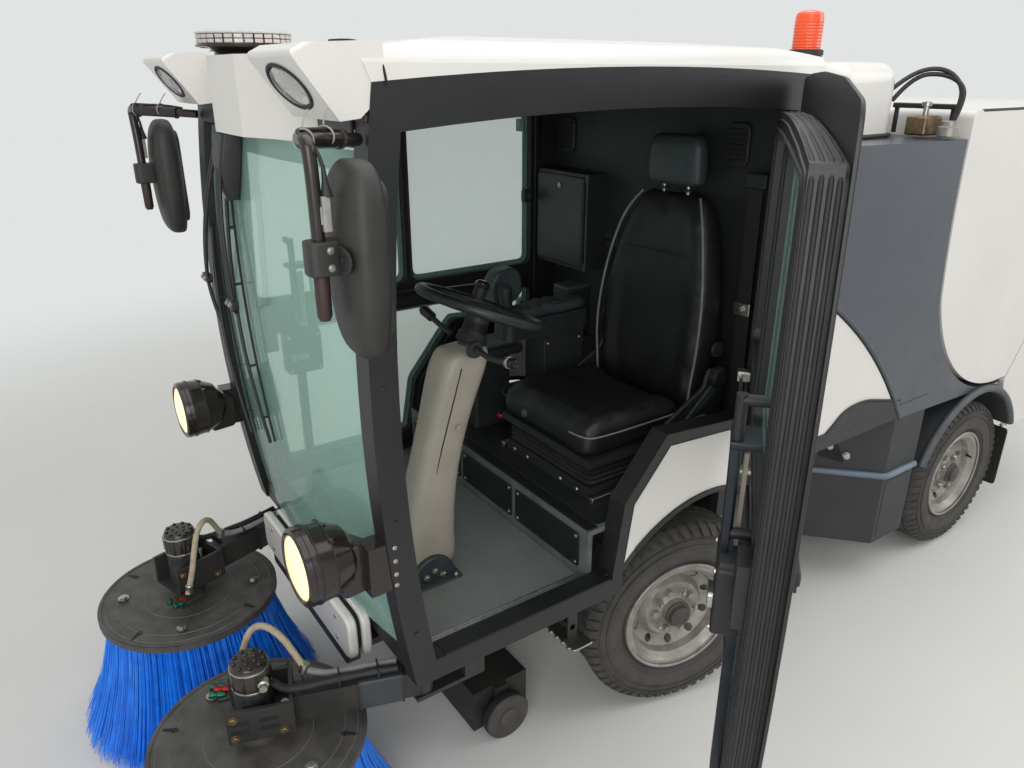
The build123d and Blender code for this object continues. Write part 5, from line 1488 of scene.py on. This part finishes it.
lathe("window_latch_knob", [(9, 0), (11, 4), (10, 18), (1, 22)], at(-505, 128, 1472), TO_LEFT, seal,
      segments=20)

# %% Belt and riser
belt_rings = [[at(x + u, 232 + v, z) for u, v in ((-24, -1.2), (24, -1.2), (24, 1.2), (-24, 1.2))]
              for x, z in ((446, 1620), (447, 1440), (448, 1262), (452, 1100), (458, 900))]
skin("belt_webbing", belt_rings, belt_web, smooth=60)
slab("belt_guide", rounded(410, 484, 1596, 1640, 10), "y", 222, 246, trim, bevel=4)
slab("belt_buckle", rounded(418, 478, 1226, 1268, 8), "y", 222, 236, zinc, bevel=3)
lathe("belt_bolt", [(13, 0), (13, 6), (8, 8), (1, 8)], at(448, 222, 1247), AHEAD, zinc, segments=6)
slab("belt_reel", rounded(416, 500, 812, 912, 14), "y", 196, 249, trim, bevel=6)
for k, (x0, x1) in enumerate(((-480, -160), (-140, 150), (170, 480))):
    cover = rounded(x0, x1, 604, 712, 10)
    slab("riser_panel_%d" % k, cover, "y", -402, -397.3, sill_black, bevel=2)
    heads("riser_screws_%d" % k, [(x, -402, z) for x in (x0 + 14, x1 - 14) for z in (616, 700)], AHEAD, 5,
          3, zinc)
slab("platform_edge", rounded(-512, 512, -399, -360, 5), "z", 735.3, 740, sill_black, bevel=1.5)
slab("platform_mat", rounded(-500, 500, -355, 238, 12), "z", 735.3, 737.2, mat_black, bevel=0.8)
ceiling = rounded(-480, 480, -860, 190, 60)
slab("headliner_pad", ceiling, "z", 1838, 1845.6, headliner, bevel=4)
lathe("ceiling_lamp", [(60, 0), (62, -4), (52, -12), (20, -16), (1, -16.5)], at(60, 60, 1838), UP,
      clear_cover, segments=40, squash=0.5)
print("interior")

# %% [markdown]
# Mirror shells and their tubes. The shell is an egg-shaped moulding, so it is a skin
# over eleven oval sections. The tube is bent steel.

# %% Mirror shells
SHELL = ((1440, 64, 34, 8), (1450, 92, 48, 5), (1468, 116, 60, 2), (1500, 136, 70, 1), (1545, 149, 76, 0),
         (1600, 155, 80, 0), (1650, 156, 81, 0), (1700, 149, 76, 1), (1738, 134, 66, 2), (1760, 108, 50, 4),
         (1774, 70, 32, 6))
for side, sign in SIDES:
    rings = [[at(sign * MIRROR[0] + u, MIRROR[1] + shift + v, z) for u, v in oval(w, d, 36, 2.9)]
             for z, w, d, shift in SHELL]
    shell = subdivided(skin("mirror_shell_" + side, rings, mirror_shell, smooth=60))
    tube = [(sign * 549, -1008, 1790), (sign * 580, -1052, 1794), (sign * 628, -1124, 1799),
            (sign * 646, -1150, 1802), (sign * 690, -1154, 1804), (sign * 692, -1152, 1770),
            (sign * 690, -1150, 1700), (sign * 690, -1150, 1600)]
    pipe("mirror_tube_" + side, tube, 11.5, gloss_black)
    if sign > 0:
        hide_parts("mirrors")
print("mirror shells")

# %% [markdown]
# Front bar. Two white bars cross the nose, one behind the other, with round ends and
# screws. They stand in front of the windscreen's foot.

# %% Front bars
FRONT_REAR = -968


def bar_outline(half, low, high):
    return rounded(-half, half, low, high, 36, 6)


front_bar = slab("front_bar", bar_outline(335, 474, 604), "y", FRONT_REAR - 66, FRONT_REAR - 40, gelcoat,
                 bevel=7)
slab("rear_bar", bar_outline(333, 466, 602), "y", FRONT_REAR - 26, FRONT_REAR - 1, gelcoat, bevel=7)
# Painted shade: a near-black slab between the two bars stands for the shade in the gap.
slab("front_bar_core", bar_outline(318, 482, 592), "y", FRONT_REAR - 42, FRONT_REAR - 22, joint_and_shade_black, bevel=2)
slab("front_bar_foot", rounded(-290, 290, 432, 474, 14), "y", FRONT_REAR - 60, FRONT_REAR - 20, steel_black,
     bevel=3)
heads("front_bar_screws", [(x, FRONT_REAR - 66, z) for x in (-250, 250) for z in (505, 572)], AHEAD, 5, 3,
      zinc, sides=12)
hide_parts("front_panel")

# %% [markdown]
# Steering column. A tall tapered moulding that leans back, wide at its foot and at the
# stalks and slender between. It is a skin over nine rounded sections.

# %% Steering column
COLUMN = ((576, -757, 150, 222), (640, -744, 134, 192), (720, -728, 118, 160), (840, -704, 102, 138),
          (960, -672, 98, 128), (1080, -636, 110, 136), (1160, -608, 126, 146), (1205, -592, 120, 138),
          (1222, -584, 96, 112))
rings = [[at(SEAT_X + 8 + u, y + v, z) for u, v in oval(w, d, 32, 3.6)] for z, y, w, d in COLUMN]
column = subdivided(skin("column_cover", rings, column_paint, smooth=60))
lathe("column_neck", [(34, -110), (34, -26), (30, -22)], at(*on_wheel(0, 0, 0)), AXLE, trim, segments=32)
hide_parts("steering_column")
print("column")

# %% [markdown]
# Brush arm dressing. A square sleeve telescopes over the beam. A grey and a black hose
# lie on it in nylon ties, and end in a beige braided run that arches over the motor to
# the couplings at the disc's edge. Every hose is held at both ends by the arm.

# %% Sleeve, hoses and coupling shelf
ALONG, ACROSS, UPRIGHT = (2, 0, 1), (0, 2, 1), (0, 1, 2)
RUNS = (
    ("black", 9.5, hose_black, ((62, 14, 521), (110, 12, 522), (180, 12, 522), (240, 18, 526),
                                (300, 26, 528), (340, 30, 540), (356, 36, 572))),
    ("grey", 8.5, hose_grey, ((62, -14, 520), (120, -16, 520), (200, -14, 520), (250, -11, 528),
                              (286, -16, 548))),
    ("beige", 8.5, hose_beige, ((282, -16, 546), (304, -28, 590), (330, -46, 634), (368, -72, 656),
                                (402, -90, 636), (424, -98, 580), (444, -102, 516), (466, -104, 466))),
)


def arm_slab(name, side, sign, outline, order, low, high, material):
    """Prism in an arm's drawing, with its depth along the arm, across it or upright."""
    rings = [[at(*on_arm(sign, *[(*p, depth)[k] for k in order])) for p in outline] for depth in (low, high)]
    return skin(name + "_" + side, rings, material, "brush_arm_" + side)


def arm_sleeve(side, sign):
    corners = rounded(-34, 34, 428, 512, 8)
    arm_slab("arm_sleeve", side, sign, corners, ALONG, 52, 160, arm_blue)
    lip = [(u * 1.06, 470 + (z - 470) * 1.05) for u, z in corners]
    for k, along in enumerate((54, 158)):
        arm_slab("sleeve_lip_%d" % k, side, sign, lip, ALONG, along - 3, along + 3, steel_black)


def arm_hoses(side, sign):
    arm = "brush_arm_" + side
    for name, radius, material, places in RUNS:
        pipe("hose_%s_%s" % (name, side), [on_arm(sign, *p) for p in places], radius, material, arm)
    joint = [(9, -14), (12, -12), (12, 12), (9, 14)]
    lathe("hose_joint_" + side, joint, at(*on_arm(sign, 285, -17, 550)), (0, 0.3, 1), zinc, arm, segments=16)
    end = [(9, -20), (11, -18), (11, 8), (8, 12)]
    lathe("hose_end_" + side, end, at(*on_arm(sign, 458, -104, 484)), (0.1, 0.1, 1), zinc, arm, segments=16)


def coupling_shelf(side, sign):
    block = rounded(430, 504, -122, -76, 8)
    bevelled(arm_slab("coupling_block", side, sign, block, UPRIGHT, 438, 452, steel_black), 2)
    stay = rounded(420, 440, -124, -62, 5)
    arm_slab("coupling_stay", side, sign, stay, UPRIGHT, 436, 446, steel_black)

# %% Motor cap, bracket slots and disc marks


def motor_cap(side, sign):
    arm = "brush_arm_" + side
    x, y = sign * BRUSH[0], BRUSH[1]
    cap = [(44, 556), (47, 560), (47, 600), (44, 606), (44, 612), (40, 619), (20, 621), (1, 621)]
    lathe("motor_cap_" + side, cap, at(x, y, 0), UP, gloss_black, arm, segments=44, caps=False)
    rib = [(3, 0), (3.6, 4), (3.6, 40), (3, 44)]
    for k, a in enumerate(turns(10)):
        place = at(x + 46 * math.cos(a), y + 46 * math.sin(a), 558)
        lathe("motor_rib_%d_%s" % (k, side), rib, place, UP, gloss_black, arm, segments=10)
    # Painted shade: each slot is a thin near-black slab on the bracket's face, standing for the shade seen
    # through it.
    for k, (z0, z1) in enumerate(((462, 474), (486, 498))):
        for j, a0 in enumerate((352, 418)):
            slot_shade = rounded(a0, a0 + 44, z0, z1, 5)
            arm_slab("bracket_slot_%d%d" % (k, j), side, sign, slot_shade, ACROSS, 64.5, 66.6, joint_and_shade_black)


def disc_marks(side, sign):
    x, y = sign * BRUSH[0], BRUSH[1]
    bend = [math.radians(40 + 280 * j / 12) for j in range(13)]
    # Painted shade: each keyhole is a thin near-black slab on the disc, standing for the shade seen through
    # the hole.
    hole_shade = [(210 + 9 * math.cos(t), 9 * math.sin(t)) for t in bend] + [(242, -4), (242, 4)]
    for k in range(4):
        a = math.radians(90 * k + 54) if sign > 0 else math.radians(180 - 90 * k - 54)
        c, s = math.cos(a), math.sin(a)
        rings = [[at(x + u * c - v * s, y + u * s + v * c, z) for u, v in hole_shade] for z in (394.6, 395.6)]
        skin("disc_keyhole_%d_%s" % (k, side), rings, joint_and_shade_black, "brush_" + side)
    for k, radius in enumerate((128, 206, 238)):
        ring = [(radius, 0), (radius + 1, 0.9), (radius + 2, 0)]
        lathe("disc_ring_%d_%s" % (k, side), ring, at(x, y, 395), UP, disc_scratch, "brush_" + side,
              segments=80, caps=False)


for side, sign in SIDES:
    for dress in (arm_sleeve, arm_hoses, coupling_shelf, motor_cap, disc_marks):
        dress(side, sign)
print("hoses")

# %% [markdown]
# Rear bodywork. The slate housing has a rolled lip along its curved lower edge, with a
# painted shadow under it: a thin near-black pipe. Below it, a flat dark moulded slab stands
# for a recess sunk in the white panel, and its darkness is painted shade.

# %% Rear bodywork


def arc_through(a, b, c, count):
    (ax, ay), (bx, by), (cx, cy) = a, b, c
    d = 2 * (ax * (by - cy) + bx * (cy - ay) + cx * (ay - by))
    ux = ((ax * ax + ay * ay) * (by - cy) + (bx * bx + by * by) * (cy - ay)
          + (cx * cx + cy * cy) * (ay - by)) / d
    uy = ((ax * ax + ay * ay) * (cx - bx) + (bx * bx + by * by) * (ax - cx)
          + (cx * cx + cy * cy) * (bx - ax)) / d
    r = math.hypot(ax - ux, ay - uy)
    start, end = math.atan2(ay - uy, ax - ux), math.atan2(cy - uy, cx - ux)
    return [(ux + r * math.cos(start + (end - start) * k / count),
             uy + r * math.sin(start + (end - start) * k / count)) for k in range(count + 1)]


SWEEP = arc_through((1027, 733), (677, 1116), (330, 1335), 24)


def housing_edge(side, sign):
    lip = [(sign * 571, y, z) for y, z in SWEEP]
    pipe("housing_lip_" + side, lip, 9, slate, straight=True)
    # Painted shadow: a thin near-black pipe just under the lip stands for the shade beneath it.
    shadow_line = [(sign * 570, y - 7, z - 7) for y, z in SWEEP]
    pipe("housing_shadow_" + side, shadow_line, 4, joint_and_shade_black, straight=True)


def cover_recess(side, sign):
    # Painted shade: this flat dark slab stands for the shaded recess under the white panel. The rubber rim
    # round it has its own colour.
    recess_shade = round_corners([(560, 790), (1010, 790), (1000, 806), (860, 838), (784, 858), (700, 858),
                            (640, 842), (600, 812)], 22)
    slab("cover_recess_" + side, recess_shade, "x", *pair(sign, 566, 573.5), moulded, bevel=3)
    rim_line = [(sign * 574, y, z) for y, z in ((566, 792), (604, 816), (642, 846), (700, 862), (784, 862),
                                                (862, 842), (1000, 808))]
    pipe("cover_recess_rim_" + side, rim_line, 4, rubber_black)

# %% [markdown]
# The boxes between the wheels carry a blue-grey rubbing strip, bright hooks on their
# slanted front and a notch under these. A thick rubber bead runs round each rear
# mudguard, and a flap hangs behind.

# %% Boxes and mudguards


def box_strip(side, sign):
    strip = [(sign * 352, 797, 500), (sign * 450, 885, 500), (sign * 560, 984, 500), (sign * 578, 1004, 500),
             (sign * 578, 1060, 500), (sign * 577, 1196, 498)]
    pipe("rubbing_strip_" + side, strip, 13, strip_blue)


def fender_bead(side, sign):
    angles = [math.radians(23.5 + 133 * k / 32) for k in range(33)]
    bead = [(sign * 585, REAR_AXLE - 392 * math.cos(a), WHEEL_HEIGHT + 392 * math.sin(a)) for a in angles]
    pipe("fender_bead_" + side, bead, 15, fender_rubber, straight=True)


def box_front(side, sign):
    for k, y in enumerate((820, 862, 904)):
        t = (y - 800) / 200
        x = sign * (350 + 223 * t)
        lathe("box_hook_%d_%s" % (k, side), [(13, 0), (13, 4), (7, 5), (7, 14), (11, 17), (1, 18)],
              at(x, y, 640 - k * 34), (sign * 0.66, -0.75, 0), zinc, segments=18)
    # Painted shade: the notch is a thin near-black sheet on the box's slanted face, standing for the shade in
    # it.
    corners = ((0.18, 668), (0.42, 600), (0.5, 540), (0.2, 560))
    notch_shade = [[at(sign * (352 + 223 * t + 2 * o), 798 + 200 * t - 2 * o, z) for t, z in corners]
             for o in (0, 1)]
    skin("box_notch_" + side, notch_shade, joint_and_shade_black)


def box_panels(side, sign):
    lid = rounded(*pair(sign, 322, 576), 332, 1198, 10)
    slab("tray_edge_" + side, lid, "z", 786, 794, moulded, bevel=3)
    panel = rounded(1020, 1184, 226, 470, 14)
    slab("box_panel_" + side, panel, "x", *pair(sign, 572.4, 575), moulded, bevel=1.5)
    flap = rounded(*pair(sign, 400, 575), 150, 430, 18)
    slab("mud_flap_" + side, flap, "y", 1985, 1993, rubber_black, bevel=2)
    heads("mud_flap_bolts_" + side, [(sign * x, 1985, 440) for x in (430, 545)], AHEAD, 6, 4, zinc)


for side, sign in SIDES:
    for dress in (housing_edge, cover_recess, box_strip, fender_bead, box_front, box_panels):
        dress(side, sign)

# %% [markdown]
# A rubber gasket seals the white cover on the housing's top. Two hoses run from under it
# to a fitting at the housing's edge, beside a brass valve block and a bar on two posts.

# %% Top of the housing
dome_line = rounded(-424, 424, 586, 934, 72, 8)
pipe("dome_gasket", [(x, y, 1712) for x, y in dome_line], 7, rubber_black, closed=True, straight=True)
for k, shift in enumerate((0, 34)):
    line = [(398, 905 + shift * 0.4, 1850 - shift), (430, 960, 1905 - shift * 0.4),
            (500, 1020, 1915 - shift * 0.5), (566 + shift * 0.2, 1020, 1860),
            (566 + shift * 0.2, 1010, 1790), (560, 1004, 1752)]
    pipe("hopper_hose_%d" % k, line, 7, hose_black)
lathe("hose_fitting", [(30, 0), (34, 4), (34, 30), (26, 34), (26, 46), (14, 50), (1, 50)],
      at(557, 1000, 1710), UP, pale_fitting, segments=32)
slab("valve_block", rounded(430, 500, 960, 1060, 10), "z", 1711, 1770, brass, bevel=6)
lathe("valve_stem", [(9, 0), (9, 30), (16, 32), (16, 44), (1, 46)], at(466, 1010, 1768), UP, zinc,
      segments=16)
slab("top_bar", rounded(330, 545, 1040, 1072, 6), "z", 1790, 1806, powder, bevel=3)
for k, x in enumerate((340, 530)):
    slab("top_bar_post_%d" % k, rectangle(x - 6, x + 6, 1050, 1062), "z", 1710.5, 1792, powder, bevel=1.5)
# The louvres take the darker gelcoat copy, which is painted shade.
for k in range(9):
    z = 1748 + k * 15
    slab("dome_louvre_%d" % k, rectangle(-300, 300, z - 3, z + 4), "y", 586, 592, gelcoat_shadow, bevel=1.5)

# %% [markdown]
# The rear flap has a handle, a seam and two ribs. Tail lamps sit in rubber bezels, and
# the hopper's sides carry a rib and a rubber edge.

# %% Flap and tail lamps
for k, x in enumerate((-400, 400)):
    heads("flap_hinge_bolts_%d" % k, [(x - 38, 2504, 1764), (x + 38, 2504, 1764)], (-1 if k else 1, 0, 0),
          7, 6, zinc, "hopper")
for side, sign in SIDES:
    lamp = rounded(sign * 470 - 44, sign * 470 + 44, 640, 730, 16)
    slab("tail_lamp_" + side, lamp, "y", 2524, 2540, tail_red, bevel=6)
    ring = rounded(sign * 470 - 52, sign * 470 + 52, 632, 738, 20)
    slab("tail_lamp_bezel_" + side, ring, "y", 2516, 2530, rubber_black, bevel=4)
    rib = [(sign * 300, 2533, z) for z in (930, 1200, 1500, 1680)]
    pipe("flap_rib_" + side, rib, 9, gelcoat, "hopper_flap", straight=True)
slab("flap_handle", rounded(-110, 110, 960, 984, 10), "y", 2520, 2548, rubber_black, "hopper_flap", bevel=5)
seam = [(x, 2523, 912) for x in (-560, -200, 200, 560)]
pipe("flap_seam", seam, 3, joint_and_shade_black, "hopper_flap", straight=True)
for side, sign in SIDES:
    pipe("hopper_rib_" + side, [(sign * 575.5, 1960, z) for z in (900, 1200, 1500, 1740)], 4, gelcoat,
         "hopper", straight=True)
    pipe("hopper_edge_" + side, [(sign * 572, y, 1786) for y in (1160, 1500, 1900, 2410)], 5, rubber_black,
         "hopper", straight=True)
print("rear bodywork")

# %% [markdown]
# Wheels. The tyres have blocks cut across their shoulders in a zigzag, and raised rings
# on the sidewall. The pressed rims carry zinc nuts, a dark hub and a valve.

# %% Wheels
KINGPIN_X, WHEEL_X, STEER = 400, 480.5, -14


def hub_frame(end, sign):
    """Matrix from a wheel's own drawing, outer side towards +X, to the frame."""
    turn = Matrix.Rotation(0 if sign > 0 else math.pi, 4, "Z")
    if end == "rear":
        return Matrix.Translation(at(sign * WHEEL_X, REAR_AXLE, WHEEL_HEIGHT)) @ turn
    steer = Matrix.Rotation(math.radians(STEER), 4, "Z")
    out = Matrix.Translation(((WHEEL_X - KINGPIN_X) / 1000, 0, 0))
    return Matrix.Translation(at(sign * KINGPIN_X, 0, WHEEL_HEIGHT)) @ steer @ turn @ out


def on_hub(make, name, end, side, *shape, **more):
    """Make a piece in a wheel's own drawing, then take it to that wheel."""
    tag = "%s_%s" % (end, side)
    made = make(name + "_" + tag, *shape, body="wheel_" + tag, **more)
    origin = Matrix.Translation(-at(0, 0, 0))
    made.data.transform(hub_frame(end, 1 if side == "left" else -1) @ origin)


def tread():
    """Shoulder blocks, as closed forms of six points (x, radius, lead) on each flank."""
    bm = bmesh.new()
    for k in range(LUGS):
        for face in (-1, 1):
            a = 2 * math.pi * (k + 0.25 * face) / LUGS
            rings = []
            for wide in (-LUG_HALF, LUG_HALF):
                flank = [(face * x, r, a + shift + wide) for x, r, shift in LUG]
                rings.append([at(x, r * math.cos(t), r * math.sin(t)) for x, r, t in flank])
            skin_into(bm, rings)
    return bm


def dress_tyre(end, side):
    on_hub(piece, "tread_blocks", end, side, tread(), tyre)
    for k, (radius, x) in enumerate(((282, 88.5), (262, 92.4), (212, 87))):
        ring = [(radius - 2.5, -1), (radius - 1, 1.8), (radius + 1, 1.8), (radius + 2.5, -1)]
        on_hub(lathe, "tyre_ring_%d" % k, end, side, ring, at(x, 0, 0), TO_LEFT, tyre, segments=72,
               caps=False)


def dress_rim(end, side):
    angles = [math.radians(72 * k + 18) for k in range(5)]
    nuts = [(51, 70 * math.sin(a), 70 * math.cos(a)) for a in angles]
    on_hub(heads, "wheel_nuts", end, side, nuts, TO_LEFT, 9, 12, zinc)
    cap = [(44, 0), (44, 4), (36, 8), (34, 20), (22, 24), (1, 25)]
    on_hub(lathe, "hub_cap", end, side, cap, at(64, 0, 0), TO_LEFT, hub_grey, segments=36, caps=False)
    edge = [(178, -3), (189, -2), (191, 3), (187, 6), (180, 3)]
    on_hub(lathe, "rim_edge", end, side, edge, at(78, 0, 0), TO_LEFT, rim_paint, segments=72, caps=False)
    stem = [(4, 0), (5, 4), (4, 24), (3, 28), (1, 29)]
    on_hub(lathe, "valve", end, side, stem, at(52, 138, 40), (1, -0.3, 0), seal, segments=12)


LUGS = 56
LUG_HALF = 0.032
LUG = ((91, 296, 0.0), (80, 309, 0.012), (62, 320, 0.03), (46, 320.5, 0.012), (46, 312, 0.012),
       (84, 290, 0.0))
for end in ("front", "rear"):
    for side, _ in SIDES:
        dress_tyre(end, side)
        dress_rim(end, side)

# %% [markdown]
# Castors and steps. Each castor has a dark hub and a rubber band, and a step of bright
# steel with teeth hangs from the cab under each door.

# %% Castors and steps
def castor(side, sign):
    x = sign * 372
    body = "castor_" + side
    lathe("castor_hub_" + side, [(30, 0), (34, 3), (26, 8), (12, 10), (1, 10)], at(x + sign * 17, -575, 75),
          (sign, 0, 0), hub_grey, body, segments=28)
    lathe("castor_band_" + side, [(75.2, -12), (76.4, -8), (76.4, 8), (75.2, 12)], at(x, -575, 75), TO_LEFT,
          rubber_black, body, segments=48, caps=False)


def cab_step(side, sign):
    step = rounded(*pair(sign, 410, 560), -470, -400, 10)
    slab("cab_step_" + side, step, "z", 392, 398, zinc, bevel=1.5)
    for k in range(5):
        tooth = [(sign * (424 + 28 * k) + u, -470 + v) for u, v in ((-8, 0), (8, 0), (4, -7), (-4, -7))]
        slab("step_tooth_%d_%s" % (k, side), tooth, "z", 392, 398, zinc, bevel=0.8)
    hanger = rounded(-452, -418, 396, 540, 6)
    slab("step_hanger_" + side, hanger, "x", *pair(sign, 500, 508), steel_black, bevel=2)
    slab("step_arm_" + side, rounded(*pair(sign, 226, 508), -448, -424, 4), "z", 420, 440, steel_black,
         bevel=2)


for side, sign in SIDES:
    castor(side, sign)
    cab_step(side, sign)
print("wheels")

# %% [markdown]
# The stage: broad soft lamps like a studio's, a pale world, and a pale floor that fades
# into the world's colour a few metres out, so that no horizon shows. The fade is only
# in what the camera, glass and reflections see.

# %% Stage


def soft_lamp(name, place, target, size, power):
    data = bpy.data.lights.new(name, "AREA")
    data.shape = "RECTANGLE"
    data.size, data.size_y = size
    data.energy = power
    lamp = bpy.data.objects.new(name, data)
    lamp.location = place
    lamp.rotation_euler = (Vector(target) - Vector(place)).to_track_quat("-Z", "Y").to_euler()
    SCENE.collection.objects.link(lamp)


soft_lamp("overhead", (0.5, 0, 4.6), (0, 0, 0), (5, 5), 120)
soft_lamp("front_left", (3.6, -3.6, 2.4), (0, -0.5, 0.7), (3, 3), 95)
soft_lamp("rear", (3.0, 4.2, 3.2), (0, 1, 0.9), (3, 3), 55)


def seen(tree):
    """1 for what the camera, a reflection or glass shows, and 0 for the light on the object."""
    paths = add(tree, "ShaderNodeLightPath")
    shown = add(tree, "ShaderNodeMath",
                {0: paths.outputs["Is Camera Ray"], 1: paths.outputs["Is Glossy Ray"]}, operation="MAXIMUM")
    return add(tree, "ShaderNodeMath", {0: shown.outputs[0], 1: paths.outputs["Is Transmission Ray"]},
               operation="MAXIMUM").outputs[0]

# %% World
BACKDROP = "#e6e9e8"
BACKDROP_LIGHT = 0.95
world = bpy.data.worlds.new("studio")
SCENE.world = world
world.use_nodes = True
background = world.node_tree.nodes["Background"]
background.inputs["Color"].default_value = linear(BACKDROP)
strength = spread(world.node_tree, seen(world.node_tree), 0.62, BACKDROP_LIGHT, 0.0, 1.0)
world.node_tree.links.new(strength, background.inputs["Strength"])

# %% Floor
FLOOR_HALF = 14
FADE_FROM, FADE_TO = 2.6, 6.5
floor_mesh = bpy.data.meshes.new("floor")
corners = rectangle(-FLOOR_HALF, FLOOR_HALF, -FLOOR_HALF, FLOOR_HALF)
floor_mesh.from_pydata([(x, y, 0) for x, y in corners], [], [(0, 1, 2, 3)])
floor = bpy.data.objects.new("floor", floor_mesh)
floor.location.z = -0.0005
floor_paint = finish("pale_floor", "#e0deda", "#dbd9d5", 900, (0.6, 0.75), 20, 0.1)
tree = floor_paint.node_tree
output = tree.nodes["Material Output"]
glow = add(tree, "ShaderNodeEmission", {"Color": linear(BACKDROP), "Strength": BACKDROP_LIGHT})
place = add(tree, "ShaderNodeTexCoord").outputs["Object"]
away = add(tree, "ShaderNodeVectorMath", {0: place}, operation="LENGTH").outputs["Value"]
fade = add(tree, "ShaderNodeMapRange", {"Value": away, "From Min": FADE_FROM, "From Max": FADE_TO},
           interpolation_type="SMOOTHSTEP")
share = add(tree, "ShaderNodeMath", {0: fade.outputs["Result"], 1: seen(tree)},
            operation="MULTIPLY").outputs[0]
mixed = add(tree, "ShaderNodeMixShader", {0: share, 1: tree.nodes[floor_paint["shader"]].outputs[0],
                                          2: glow.outputs[0]})
tree.links.new(mixed.outputs[0], output.inputs["Surface"])
floor_mesh.materials.append(floor_paint)
SCENE.collection.objects.link(floor)
